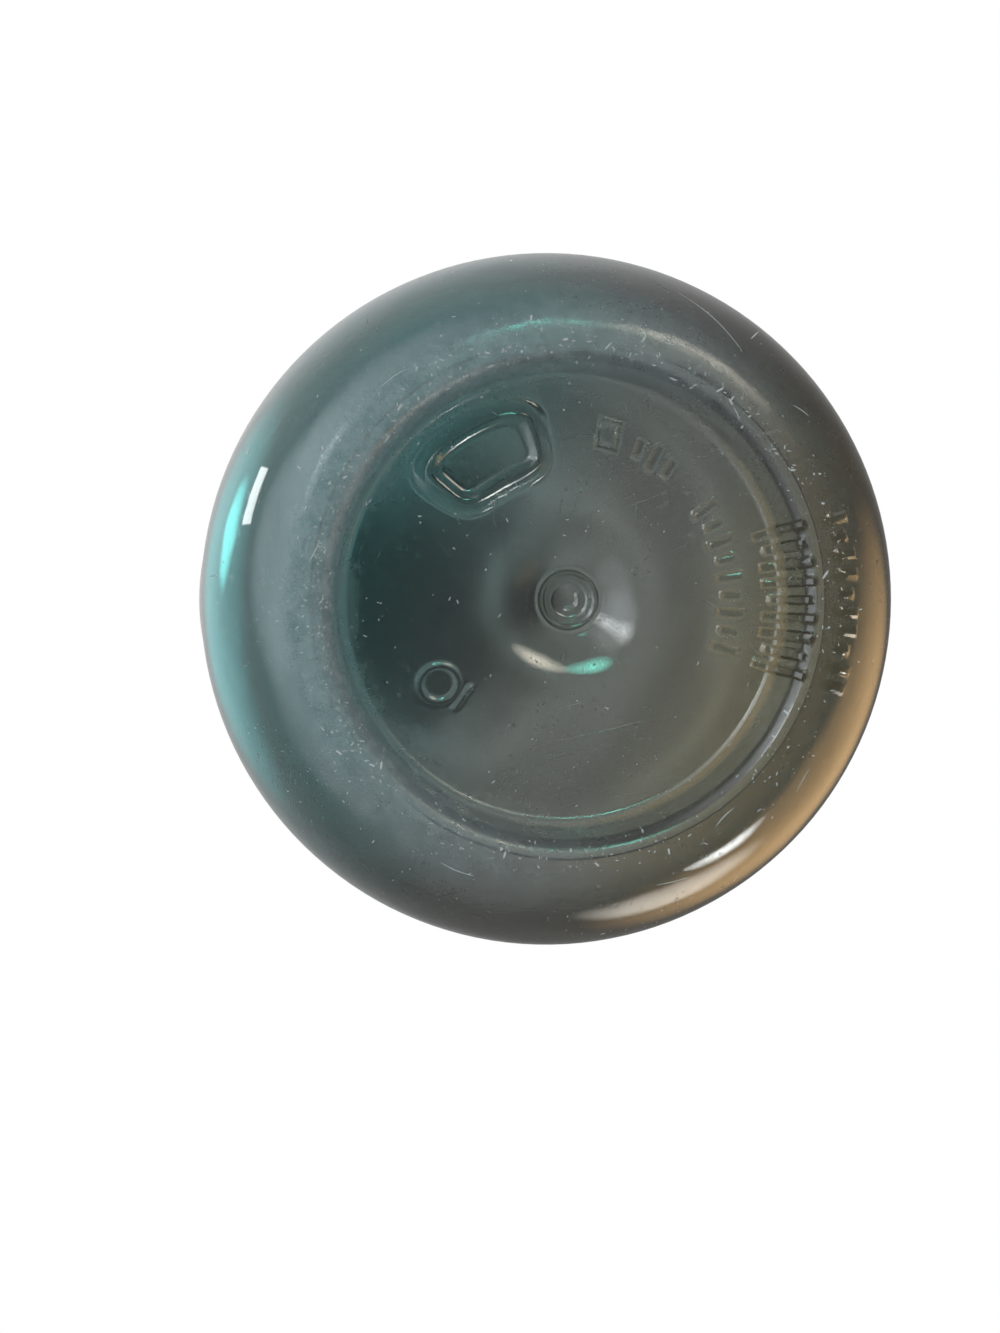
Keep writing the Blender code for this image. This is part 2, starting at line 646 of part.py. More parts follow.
def build_cap(material, hinge):
    cap = turned("flip_cap", cap_outline(), COLLAR_SIDES, material)
    low = (-HOUSE_W / 2 - CAP_RIM_GAP, -CAP_R - CUTTER_REACH, CAP_RIM_Z - CUTTER_REACH)
    high = (HOUSE_W / 2 + CAP_RIM_GAP, HOUSE_BACK_Y, HOUSE_TOP_Z + CAP_RIM_GAP)
    combine(cap, block("house_notch", low, high), "DIFFERENCE")
    for side, x_sign in (("left", -1), ("right", 1)):
        near, far = x_sign * KNUCKLE_W / 2, x_sign * (EAR_OUT_X + HINGE_SIDE_GAP)
        low = (min(near, far), HINGE_Y - EAR_R - 2 * CAP_WALL, CAP_RIM_Z - CUTTER_REACH)
        high = (max(near, far), HINGE_Y + CUTTER_REACH, HINGE_Z + EAR_R + HINGE_SIDE_GAP)
        combine(cap, block("ear_notch_" + side, low, high), "DIFFERENCE")
    combine(cap, knuckle(), "UNION")
    combine(cap, latch_tongue(), "UNION")
    combine(cap, pin_bar("knuckle_bore", PIN_R + PIN_FIT, KNUCKLE_W), "DIFFERENCE")
    set_origin(cap, (0, HINGE_Y, HINGE_Z), hinge)


def knuckle():
    """The round eye on the cap that the hinge pin passes through, with its short arm."""
    radius = EAR_R - HINGE_SIDE_GAP / 2
    turns = stations(KNUCKLE_TURN, -KNUCKLE_TURN, 10)
    eye = [(HINGE_Y + radius * math.cos(t), HINGE_Z + radius * math.sin(t)) for t in turns]
    root_y = CAP_R - CAP_WALL / 2
    arm = [(root_y, HINGE_Z - radius + CAP_WALL / 2), (root_y, HINGE_Z + radius)]
    return prism("knuckle", eye + arm, -KNUCKLE_W / 2, KNUCKLE_W / 2)


def latch_tongue():
    """The tongue that reaches from inside the cap's front wall down into the latch housing."""
    root_y = -CAP_R + CAP_WALL / 2
    roof_z = HOUSE_TOP_Z + 2 * SEAT
    tip_z = CAVITY_LOW_Z + HOUSE_WALL
    reach_z = CAP_SIDE_Z + CAP_DOME_H / 3
    outline = [
        (root_y, reach_z),
        (root_y, roof_z),
        (TONGUE_FRONT_Y, roof_z),
        (TONGUE_FRONT_Y, tip_z),
        (TONGUE_BACK_Y, tip_z),
        (TONGUE_BACK_Y, reach_z),
    ]
    return prism("latch_tongue", outline, -TONGUE_W / 2, TONGUE_W / 2)


def build_plug(material, hinge):
    """A stub in the cap's socket, a flange over the spout's lip and a tapered boss in its bore."""
    stub_r = SOCKET_R - SOCKET_WALL - SEAT
    boss_r = SPOUT_BORE_R - PLUG_BOSS_GAP
    flange_low = SPOUT_TOP_Z + SEAT
    flange_high = flange_low + PLUG_FLANGE_T
    outline = [
        (0, dome_z(0, CAP_WALL) - SEAT),
        (stub_r, dome_z(0, CAP_WALL) - SEAT),
        (stub_r, flange_high),
        (PLUG_FLANGE_R, flange_high),
        (PLUG_FLANGE_R, flange_low),
        (boss_r, flange_low),
        (boss_r - PLUG_TAPER, flange_low - PLUG_BOSS_H),
        (0, flange_low - PLUG_BOSS_H),
    ]
    plug = turned("spout_plug", outline, SMALL_SIDES, material)
    set_origin(plug, (0, HINGE_Y, HINGE_Z), hinge)


def build_pin(material, hinge):
    pin = pin_bar("hinge_pin", PIN_R, EAR_OUT_X - HINGE_SIDE_GAP, material)
    set_origin(pin, (0, HINGE_Y, HINGE_Z), hinge)


def build_button(material, closure):
    """A face with two rails behind it and a bar across them, round the cap's tongue."""
    half_w = CAVITY_W / 2 - BUTTON_FIT
    low_z = CAVITY_LOW_Z + BUTTON_FIT
    high_z = CAVITY_HIGH_Z - BUTTON_FIT
    end_y = BUTTON_BAR_Y + BUTTON_BAR_T
    button = block(
        "latch_button", (-half_w, BUTTON_FACE_Y, low_z), (half_w, end_y, high_z), material
    )
    hole_w = half_w - BUTTON_RAIL_W
    low = (-hole_w, BUTTON_FACE_Y + BUTTON_FACE_T, low_z - CUTTER_REACH)
    high = (hole_w, BUTTON_BAR_Y, high_z + CUTTER_REACH)
    combine(button, block("button_window", low, high), "DIFFERENCE")
    set_origin(button, (0, BUTTON_FACE_Y, (low_z + high_z) / 2), closure)


def build_spring(material, closure):
    """A helix along Y between the button's bar and the back of the housing."""
    start_y = BUTTON_BAR_Y + BUTTON_BAR_T + SEAT + SPRING_WIRE_R
    end_y = CAVITY_BACK_Y - SEAT - SPRING_WIRE_R
    middle_z = (CAVITY_LOW_Z + CAVITY_HIGH_Z) / 2
    steps = round(CURL_POINTS * SPRING_CURLS)
    apart = 2 * CURL_POINTS // 3
    points = []
    for i in range(steps + 1):
        turn = 2 * math.pi * SPRING_CURLS * i / steps
        y = (end_y - start_y) * i / steps
        points.append(Vector((SPRING_R * math.cos(turn), y, SPRING_R * math.sin(turn))))
    near = [(a - b).length for i, a in enumerate(points) for b in points[i + apart :]]
    print(f"latch_spring: least gap to itself {(min(near) - 2 * SPRING_WIRE_R) * 1000:.2f} mm")
    curve = bpy.data.curves.new("latch_spring", "CURVE")
    curve.dimensions = "3D"
    curve.bevel_depth = SPRING_WIRE_R
    curve.bevel_resolution = 1
    curve.use_fill_caps = True
    spline = curve.splines.new("POLY")
    spline.points.add(len(points) - 1)
    for point, co in zip(spline.points, points):
        point.co = (*co, 1)
    spring = add_object("latch_spring", curve, material)
    place(spring, (0, start_y, middle_z), closure)


def strap_outline(offset):
    """The loop's centre line, moved in or out: up one arm, over the bow and down the other."""
    half_w = (ARM_IN_X + ARM_OUT_X) / 2 + offset
    turns = stations(0, math.pi, 20)
    bow = [(half_w * math.cos(t), ARM_H + half_w * math.sin(t)) for t in turns]
    return [(half_w, -EYE_R)] + bow + [(-half_w, -EYE_R)]


def loop_drop():
    """How far below level the loop lies when it rests on the shoulder behind the closure."""
    profile = [(wall_radius(z), z) for z in wall_heights()]

    def clearance(drop):
        nearest = math.inf
        for x, z in strap_outline(-STRAP_T / 2) + strap_outline(STRAP_T / 2):
            y_now = -STRAP_W / 2 * math.sin(drop) + z * math.cos(drop)
            z_now = PIVOT_Z - STRAP_W / 2 * math.cos(drop) - z * math.sin(drop)
            point = Vector((math.hypot(x, y_now), z_now))
            for a, b in zip(profile, profile[1:]):
                nearest = min(nearest, distance_outside(point, Vector(a), Vector(b)))
        return nearest

    low, high = 0.0, LOOP_STEEPEST
    for _ in range(HALVINGS):
        middle = (low + high) / 2
        if clearance(middle) > LOOP_REST_GAP:
            low = middle
        else:
            high = middle
    return low


def distance_outside(point, a, b):
    """Distance from a wall's stretch a to b, which counts as none for a point inside the wall."""
    along = min(max((point - a).dot(b - a) / (b - a).length_squared, 0.0), 1.0)
    nearest = a + (b - a) * along
    inside = min(a.y, b.y) <= point.y <= max(a.y, b.y) and point.x < nearest.x
    return 0.0 if inside else (point - nearest).length


def build_loop(material, closure):
    """A flat strap bent over the closure, with an eye round each rivet, laid on the shoulder."""
    bm = bmesh.new()
    outer = strap_outline(STRAP_T / 2)
    inner = strap_outline(-STRAP_T / 2)
    front = [bm.verts.new((x, -STRAP_W / 2, z)) for x, z in outer]
    back = [bm.verts.new((x, -STRAP_W / 2, z)) for x, z in inner]
    faces = []
    for i in range(len(outer) - 1):
        faces.append(bm.faces.new((front[i], front[i + 1], back[i + 1], back[i])))
    grown = bmesh.ops.extrude_face_region(bm, geom=faces)
    moved = [v for v in grown["geom"] if isinstance(v, bmesh.types.BMVert)]
    bmesh.ops.translate(bm, verts=moved, vec=(0, STRAP_W, 0))
    loop = finish_mesh("carry_loop", bm, material)
    soften(loop, STRAP_T / 3)
    reach = (ARM_OUT_X + CUTTER_REACH, 0, 0)
    hole = bar("eye_hole", RIVET_R + RIVET_FIT, (-reach[0], 0, 0), reach, PIN_SIDES)
    combine(loop, hole, "DIFFERENCE")
    place(loop, (0, 0, PIVOT_Z), closure)
    loop.rotation_euler.x = -(math.pi / 2 + loop_drop())
    place(hole, (0, 0, PIVOT_Z), closure)
    print(f"carry_loop: lies {math.degrees(loop_drop()):.2f} degrees below level")


def low_dome(radius, foot_z, edge, height):
    """Upright edge and rounded top of a low head or umbrella, from its foot to the axis."""
    turns = stations(0, math.pi / 2, 3)
    rise = height - edge
    top = [(radius * math.cos(t), foot_z + edge + rise * math.sin(t)) for t in turns[:-1]]
    return [(radius, foot_z)] + top + [(0, foot_z + height)]


def build_rivets(material, closure):
    """Two pivots of one shape: a shank through the loop's eye into the collar, and a low head."""
    head_z = ARM_OUT_X + LOOP_GAP - PAD_X
    outline = [
        (0, -RIVET_DEPTH),
        (RIVET_R, -RIVET_DEPTH),
        (RIVET_R, head_z),
    ]
    outline += low_dome(RIVET_HEAD_R, head_z, RIVET_EDGE_H, RIVET_HEAD_H)
    right = turned("loop_rivet_right", outline, PIN_SIDES, material)
    left = add_object("loop_rivet_left", right.data)
    for rivet, x_sign in ((right, 1), (left, -1)):
        place(rivet, (x_sign * PAD_X, 0, PIVOT_Z), closure)
        rivet.rotation_euler.y = x_sign * math.pi / 2


def build_valve(material, closure):
    """An umbrella over the deck, a stem through it and a bulb below that holds it."""
    under_z = DECK_Z + SEAT
    bulb_z = DECK_UNDER_Z - SEAT
    outline = low_dome(VALVE_R, under_z, VALVE_EDGE_T, VALVE_T)[::-1] + [
        (VALVE_STEM_R, under_z),
        (VALVE_STEM_R, bulb_z),
        (VALVE_BULB_R, bulb_z),
        (VALVE_STEM_R, bulb_z - VALVE_BULB_H),
        (0, bulb_z - VALVE_BULB_H),
    ]
    valve = turned("vent_valve", outline, PIN_SIDES, material)
    set_origin(valve, (0, 0, DECK_Z))
    place(valve, (VALVE_X, 0, DECK_Z), closure)


def main():
    clear_scene()
    clear = plastic("clear_teal_plastic", (0.35, 0.52, 0.50), 0.08, transmission=0.8)
    lid = plastic("slate_plastic", (0.035, 0.060, 0.062), 0.42)
    accent = plastic("teal_plastic", (0.060, 0.250, 0.240), 0.38)
    silicone = plastic("grey_silicone", (0.42, 0.46, 0.46), 0.60)
    steel = plastic("steel", (0.62, 0.62, 0.60), 0.25, metallic=1.0)

    build_bottle(clear)
    closure = axis_empty("closure_axis", (0, 0, DECK_Z))
    hinge = axis_empty("hinge_axis", (0, HINGE_Y, HINGE_Z), closure)
    build_gasket(silicone, closure)
    build_collar(lid, closure)
    build_cap(lid, hinge)
    build_plug(silicone, hinge)
    build_pin(steel, hinge)
    build_button(accent, closure)
    build_spring(steel, closure)
    build_loop(accent, closure)
    build_rivets(steel, closure)
    build_valve(silicone, closure)


main()
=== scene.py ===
"""Looks of a reusable plastic water bottle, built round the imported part.

A clear, smoky body with a push-up base carries a screw-on closure with a flip cap, a push-button latch
and a carry loop. Metres, +Z up: the bottle stands on z = 0, its hinge is at the back, +Y, and its button
at the front, -Y.
"""

import json
import logging
from collections.abc import Callable, Sequence
from dataclasses import dataclass
from enum import Enum
from functools import reduce
from math import asin, atan2, ceil, cos, dist, hypot, pi, radians, sin, sqrt, tan

import bmesh
import bpy
import numpy as np
from mathutils import Matrix, Vector


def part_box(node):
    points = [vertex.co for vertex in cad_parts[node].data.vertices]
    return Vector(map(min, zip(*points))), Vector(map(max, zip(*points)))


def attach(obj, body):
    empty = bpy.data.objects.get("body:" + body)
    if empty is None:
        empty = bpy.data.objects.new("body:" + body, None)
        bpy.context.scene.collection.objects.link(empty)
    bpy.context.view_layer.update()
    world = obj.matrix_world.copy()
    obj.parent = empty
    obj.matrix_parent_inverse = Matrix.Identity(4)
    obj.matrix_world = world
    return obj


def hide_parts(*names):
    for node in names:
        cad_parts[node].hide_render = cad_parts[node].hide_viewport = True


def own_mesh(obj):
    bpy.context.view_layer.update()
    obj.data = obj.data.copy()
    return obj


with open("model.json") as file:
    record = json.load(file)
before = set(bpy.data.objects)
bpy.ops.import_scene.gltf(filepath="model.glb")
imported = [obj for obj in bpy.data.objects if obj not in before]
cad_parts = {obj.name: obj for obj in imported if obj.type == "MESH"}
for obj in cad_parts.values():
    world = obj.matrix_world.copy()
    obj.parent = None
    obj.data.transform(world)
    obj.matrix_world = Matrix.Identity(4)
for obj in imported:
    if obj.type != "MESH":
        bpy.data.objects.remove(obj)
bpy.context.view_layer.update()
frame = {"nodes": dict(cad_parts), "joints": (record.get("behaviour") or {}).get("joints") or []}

LOG = logging.getLogger("water_bottle")

Colour = tuple[float, float, float]
Point = tuple[float, float, float]
Span = tuple[float, float]
Corner = tuple[float, ...]
Points = list[tuple[float, float]]
Outline = Sequence[tuple[float, float]]
Array = np.ndarray
Values = Array | float
Socket = bpy.types.NodeSocket
Piece = bpy.types.Object
Material = bpy.types.Material
Push = Callable[[float, float, Array], tuple[Values, Values]]

INNER_SKIN = "inner_skin"
WHITE: Colour = (1.0, 1.0, 1.0)
TURN = 2.0 * pi
MERGE = 1e-7
SHARP = radians(32)
LEAST_HALF_CORNER = radians(5)
MOST_TRIM = 0.48
# How far a cutter reaches past what it cuts, and a glint's lamp stands from what it aims at.
PAST = 0.0100
GLINT_DISTANCE = 0.12


class Slot(Enum):
    """Material slots of the part."""

    CLEAR_TEAL = "clear_teal"
    SLATE = "slate"
    TEAL = "teal"
    SILICONE = "silicone"
    STEEL = "steel"


class Cut(Enum):
    """Ways to combine two solids."""

    UNION = "UNION"
    DIFFERENCE = "DIFFERENCE"


def stations(low: float, high: float, count: int) -> list[float]:
    """Returns count + 1 evenly spaced values from low to high."""
    return [low + (high - low) * i / count for i in range(count + 1)]


def ease(low: float, high: float, value: Values) -> Values:
    """Returns a smooth rise from 0 at low to 1 at high."""
    share = np.clip((value - low) / (high - low), 0.0, 1.0)
    return share * share * (3.0 - 2.0 * share)


def within(half: float, edge: float, value: Values) -> Values:
    """Returns 1 where value is nearer to 0 than half, with a soft edge of that width."""
    return 1.0 - ease(half - edge / 2, half + edge / 2, np.abs(value))


def turn_from(place: float, angles: Array) -> Array:
    """Returns the angles counted from a place, within half a turn either way."""
    return (angles - place + pi) % TURN - pi


def even_columns(count: int) -> Array:
    """Returns the angles of count columns round the axis."""
    return np.arange(count) * TURN / count


def rounded(corners: Sequence[Corner], closed: bool = True, steps: int = 4) -> Points:
    """Rounds the corners of an outline.

    Args:
        corners: Points as (a, b) or (a, b, radius), a sharp corner where no radius is given.
        closed: False if the outline's ends lie on the axis and stay as they are.
        steps: Edges in each rounded corner.

    Returns:
        The outline's points.
    """
    outline = []
    for i, (a, b, *radius) in enumerate(corners):
        here = Vector((a, b))
        if not radius or (not closed and i in (0, len(corners) - 1)):
            outline.append((a, b))
            continue
        before = Vector(corners[i - 1][:2]) - here
        after = Vector(corners[(i + 1) % len(corners)][:2]) - here
        half = max(before.angle(after) / 2, LEAST_HALF_CORNER)
        trim = min(radius[0] / tan(half), MOST_TRIM * before.length, MOST_TRIM * after.length)
        start, end = here + before.normalized() * trim, here + after.normalized() * trim
        for t in stations(0, 1, steps):
            outline.append(tuple(start * (1 - t) ** 2 + here * 2 * t * (1 - t) + end * t * t))
    return outline


def split_long(outline: Outline, longest: float, low: float, high: float) -> Points:
    """Splits an outline's edges that lie between two heights into edges of at most the longest length."""
    split = []
    for here, following in zip(outline, [*outline[1:], outline[0]]):
        split.append(here)
        length = dist(here, following)
        if low <= min(here[1], following[1]) and max(here[1], following[1]) <= high:
            count = max(1, ceil(length / longest))
            for t in stations(0, 1, count)[1:-1]:
                split.append(tuple(p + (q - p) * t for p, q in zip(here, following)))
    return split


def add_mesh(name: str, mesh: bpy.types.Mesh) -> Piece:
    """Adds an object that shows a mesh, with its round sides smooth and its corners sharp."""
    mesh.shade_smooth()
    mesh.set_sharp_from_angle(angle=SHARP)
    piece = bpy.data.objects.new(name, mesh)
    bpy.context.scene.collection.objects.link(piece)
    return piece


def from_bmesh(name: str, bm: bmesh.types.BMesh) -> Piece:
    """Adds an object made of a bmesh, with its faces pointing out."""
    bmesh.ops.remove_doubles(bm, verts=bm.verts, dist=MERGE)
    bmesh.ops.recalc_face_normals(bm, faces=bm.faces)
    mesh = bpy.data.meshes.new(name)
    bm.to_mesh(mesh)
    bm.free()
    return add_mesh(name, mesh)


class RingMesh:
    """A skin of rings round the Z axis, each with its own columns, joined in the order they come.

    The faces point out when the rings run outwards under a shape, up its outside and inwards over it.
    """

    def __init__(self) -> None:
        """Starts without rings."""
        self.points: list[Array] = []
        self.faces: list[tuple[int, ...]] = []
        self.rings: list[tuple[int, Array]] = []
        self.size = 0

    def pole(self, height: float, x: float = 0.0) -> None:
        """Adds a point on the axis, or beside it."""
        self._add(np.empty(0), np.array([[x, 0.0, height]]))

    def ring(self, angles: Array, radius: Values, height: Values) -> None:
        """Adds a ring.

        Args:
            angles: The columns' angles, rising from about 0.
            radius: One radius, or one for each column.
            height: One height, or one for each column.
        """
        self.free_ring(angles, radius * np.cos(angles), radius * np.sin(angles), height)

    def free_ring(self, angles: Array, x: Array, y: Array, z: Values) -> None:
        """Adds a ring whose points are given, still in the order of their columns' angles."""
        self._add(angles, np.stack([x, y, np.broadcast_to(z, len(angles))], 1))

    def _add(self, angles: Array, points: Array) -> None:
        """Stores a ring or a pole, and joins it to the one before."""
        self.rings.append((self.size, angles))
        self.points.append(points)
        self.size += len(points)
        if len(self.rings) > 1:
            self._join(*self.rings[-2], *self.rings[-1])

    def _join(self, start: int, angles: Array, next_start: int, next_angles: Array) -> None:
        """Joins two rings with faces: quads where their columns agree, otherwise triangles."""
        count, next_count = len(angles), len(next_angles)
        here = np.arange(max(count, next_count))
        after = (here + 1) % len(here)
        if not count:
            fan = [np.full(next_count, start), next_start + after, next_start + here]
            self.faces += np.stack(fan, 1).tolist()
        elif not next_count:
            fan = [start + here, start + after, np.full(count, next_start)]
            self.faces += np.stack(fan, 1).tolist()
        elif count == next_count and np.allclose(angles, next_angles):
            quads = [start + here, start + after, next_start + after, next_start + here]
            self.faces += np.stack(quads, 1).tolist()
        else:
            self._zip(start, [*angles, angles[0] + TURN], next_start, [*next_angles, next_angles[0] + TURN])

    def _zip(self, start: int, angles: list[float], next_start: int, next_angles: list[float]) -> None:
        """Joins two rings with unlike columns by triangles, always taking the nearer next column."""
        count, next_count = len(angles) - 1, len(next_angles) - 1
        i = j = 0
        while i < count or j < next_count:
            here, there = start + i % count, next_start + j % next_count
            if j == next_count or (i < count and angles[i + 1] <= next_angles[j + 1]):
                i += 1
                self.faces.append([here, start + i % count, there])
            else:
                j += 1
                self.faces.append([here, next_start + j % next_count, there])

    def build(self, name: str, closed: bool = False) -> Piece:
        """Makes the object.

        Args:
            name: The piece's name.
            closed: True if the last ring joins the first.

        Returns:
            The new object.
        """
        if closed:
            self._join(*self.rings[-1], *self.rings[0])
        mesh = bpy.data.meshes.new(name)
        mesh.from_pydata(np.concatenate(self.points).tolist(), [], self.faces)
        mesh.update()
        return add_mesh(name, mesh)


def turned(name: str, outline: Outline, columns: int = 96, push: Push | None = None) -> Piece:
    """Makes a solid of revolution about Z.

    Args:
        name: The piece's name.
        outline: (radius, height) points, from axis to axis or closed in itself.
        columns: Faces round the axis.
        push: Gives a ring's radii and heights at the columns' angles, where it isn't plainly round.

    Returns:
        The new object.
    """
    area = sum(a[0] * b[1] - b[0] * a[1] for a, b in zip(outline, [*outline[1:], outline[0]]))
    skin = RingMesh()
    angles = even_columns(columns)
    for radius, height in outline if area > 0 else reversed(outline):
        if radius < MERGE:
            skin.pole(height)
        elif push:
            skin.ring(angles, *push(radius, height, angles))
        else:
            skin.ring(angles, radius, height)
    return skin.build(name, closed=outline[0][0] > MERGE)


def rounded_block(name: str, low: Sequence[float], high: Sequence[float], radius: float) -> Piece:
    """Makes a block between two corners, with all its edges rounded."""
    low, high = Vector(low), Vector(high)
    bm = bmesh.new()
    bmesh.ops.create_cube(bm, size=1.0)
    bmesh.ops.scale(bm, verts=bm.verts, vec=high - low)
    bmesh.ops.translate(bm, verts=bm.verts, vec=(low + high) / 2)
    if radius:
        bmesh.ops.bevel(bm, geom=bm.edges[:], offset=radius, segments=3, profile=0.5, affect="EDGES")
    return from_bmesh(name, bm)


def prism(name: str, outline: Outline, low_x: float, high_x: float, radius: float) -> Piece:
    """Makes a solid with a (y, z) outline, extruded along X, with its two rims rounded."""
    bm = bmesh.new()
    face = bm.faces.new([bm.verts.new((low_x, y, z)) for y, z in outline])
    grown = bmesh.ops.extrude_face_region(bm, geom=[face])
    moved = [v for v in grown["geom"] if isinstance(v, bmesh.types.BMVert)]
    bmesh.ops.translate(bm, verts=moved, vec=(high_x - low_x, 0, 0))
    rims = [e for e in bm.edges if abs(e.verts[0].co.x - e.verts[1].co.x) < MERGE]
    if radius:
        bmesh.ops.bevel(bm, geom=rims, offset=radius, segments=2, profile=0.5, affect="EDGES")
    return from_bmesh(name, bm)


def lay_along_x(piece: Piece, place: Sequence[float], flip: bool = False) -> Piece:
    """Turns a piece made about Z so that its axis lies along X, or -X, and moves it to a place."""
    turn = Matrix.Rotation(-pi / 2 if flip else pi / 2, 4, "Y")
    piece.data.transform(Matrix.Translation(place) @ turn)
    return piece


def round_bar(name: str, radius: float, low: float, high: float) -> Piece:
    """Makes a plain round bar along Z, to cut a bore with."""
    return turned(name, [(0, low), (radius, low), (radius, high), (0, high)], 48)


def combine(target: Piece, operand: Piece, cut: Cut) -> None:
    """Joins a solid to the target or cuts it away, and removes the solid."""
    modifier = target.modifiers.new(operand.name, "BOOLEAN")
    modifier.operation = cut.value
    modifier.object = operand
    modifier.solver = "EXACT"
    result = target.evaluated_get(bpy.context.evaluated_depsgraph_get())
    mesh = bpy.data.meshes.new_from_object(result)
    target.modifiers.clear()
    target.data = mesh
    bpy.data.objects.remove(operand)
    mesh.shade_smooth()
    mesh.set_sharp_from_angle(angle=SHARP)


def swept(
    name: str,
    centres: Sequence[Vector],
    firsts: Sequence[Vector],
    seconds: Sequence[Vector],
    sections: Sequence[Outline],
) -> Piece:
    """Makes a solid along a path.

    Args:
        name: The piece's name.
        centres: Points of the path.
        firsts: At each point, the direction of the section's first coordinate.
        seconds: At each point, the direction of its second one.
        sections: At each point, the section's outline. All have the same number of points.

    Returns:
        The new object.
    """
    bm = bmesh.new()
    rings = []
    for centre, first, second, section in zip(centres, firsts, seconds, sections):
        rings.append([bm.verts.new(centre + a * first + b * second) for a, b in section])
    for ring, following in zip(rings, rings[1:]):
        for k, vert in enumerate(ring):
            bm.faces.new((ring[k - 1], vert, following[k], following[k - 1]))
    bm.faces.new(rings[0])
    bm.faces.new(rings[-1])
    return from_bmesh(name, bm)


class Tree:
    """A node tree being wired: makes nodes, sets their values and links their sockets."""

    def __init__(self, tree: bpy.types.NodeTree) -> None:
        """Wraps a material's, a group's or the world's tree."""
        self.tree = tree

    def node(self, kind: str, **values: object) -> bpy.types.Node:
        """Adds a node.

        Args:
            kind: The node's type name, after ShaderNode.
            **values: Its properties, and its inputs as feed takes them.

        Returns:
            The new node.
        """
        node = self.tree.nodes.new("ShaderNode" + kind)
        for key in [k for k in values if hasattr(node, k)]:
            setattr(node, key, values.pop(key))
        self.feed(node, **values)
        return node

    def feed(self, node: bpy.types.Node, **values: object) -> None:
        """Gives inputs of a node their values.

        Args:
            node: The node.
            **values: By the inputs' names with underscores for spaces, or by i and their number. A socket
                or a node is linked, and anything else is set.
        """
        for key, value in values.items():
            numbered = key[0] == "i" and key[1:].isdigit()
            socket = node.inputs[int(key[1:]) if numbered else key.replace("_", " ")]
            if isinstance(value, bpy.types.Node):
                value = value.outputs[0]
            if isinstance(value, Socket):
                self.tree.links.new(value, socket)
            else:
                socket.default_value = value

    def put_out(self, **values: object) -> None:
        """Gives the material's output its surface, or its volume."""
        self.feed(self.tree.nodes["Material Output"], **values)

    def math(self, operation: str, *values: object, clamp: bool = False) -> Socket:
        """Adds a Math node for an operation on sockets or numbers, and returns its output."""
        inputs = {f"i{i}": value for i, value in enumerate(values)}
        return self.node("Math", operation=operation, use_clamp=clamp, **inputs).outputs[0]

    def product(self, *values: object) -> Socket:
        """Adds the Math nodes that multiply all the values, and returns the last one's output."""
        return reduce(lambda first, second: self.math("MULTIPLY", first, second), values)

    def vector(self, operation: str, *values: object) -> Socket:
        """Adds a Vector Math node, and returns its vector, or the number that it gives instead."""
        inputs = {f"i{i}": value for i, value in enumerate(values)}
        outputs = self.node("VectorMath", operation=operation, **inputs).outputs
        return outputs["Value" if operation in ("LENGTH", "DOT_PRODUCT") else "Vector"]

    def scaled(self, entry: bpy.types.Node) -> Socket:
        """Returns a group's place times its scale."""
        given = entry.outputs
        node = self.node("VectorMath", operation="SCALE", i0=given["Vector"], Scale=given["Scale"])
        return node.outputs[0]

    def height(self, place: Socket) -> Socket:
        """Returns a place's third coordinate."""
        return self.node("SeparateXYZ", Vector=place).outputs[2]

    def noise(self, place: Socket, scale: float, **values: float) -> Socket:
        """Adds a noise texture, and returns its factor."""
        return self.node("TexNoise", Vector=place, Scale=scale, **values).outputs[0]

    def spread(
        self, value: object, low: float, high: float, to_low: float = 0.0, to_high: float = 1.0
    ) -> Socket:
        """Adds a Map Range that takes low to high smoothly onto the other range."""
        return self.node(
            "MapRange",
            interpolation_type="SMOOTHSTEP",
            Value=value,
            From_Min=low,
            From_Max=high,
            To_Min=to_low,
            To_Max=to_high,
        ).outputs[0]

    def blend(self, share: object, first: object, second: object) -> Socket:
        """Adds a mix of two colours, each a socket or three numbers, and returns its colour output."""
        mix = self.node("Mix", data_type="RGBA")
        places = [i for i, socket in enumerate(mix.inputs) if socket.type == "RGBA"]
        colours = [c if isinstance(c, Socket) else (*c, 1.0) for c in (first, second)]
        self.feed(mix, i0=share, **{f"i{i}": colour for i, colour in zip(places, colours)})
        return next(s for s in mix.outputs if s.type == "RGBA")


def new_group(
    name: str, inputs: dict[str, float], outputs: Sequence[str]
) -> tuple[Tree, bpy.types.Node, bpy.types.Node]:
    """Starts a shader node group.

    Args:
        name: The group's name.
        inputs: Names and first values of its numbers. A Vector input comes first by itself.
        outputs: Names of the values that it puts out.

    Returns:
        The group's wiring, its input node and its output node.
    """
    group = bpy.data.node_groups.new(name, "ShaderNodeTree")
    group.interface.new_socket("Vector", in_out="INPUT", socket_type="NodeSocketVector")
    for label, value in inputs.items():
        socket = group.interface.new_socket(label, in_out="INPUT", socket_type="NodeSocketFloat")
        socket.default_value = value
    for label in outputs:
        group.interface.new_socket(label, in_out="OUTPUT", socket_type="NodeSocketFloat")
    return Tree(group), group.nodes.new("NodeGroupInput"), group.nodes.new("NodeGroupOutput")


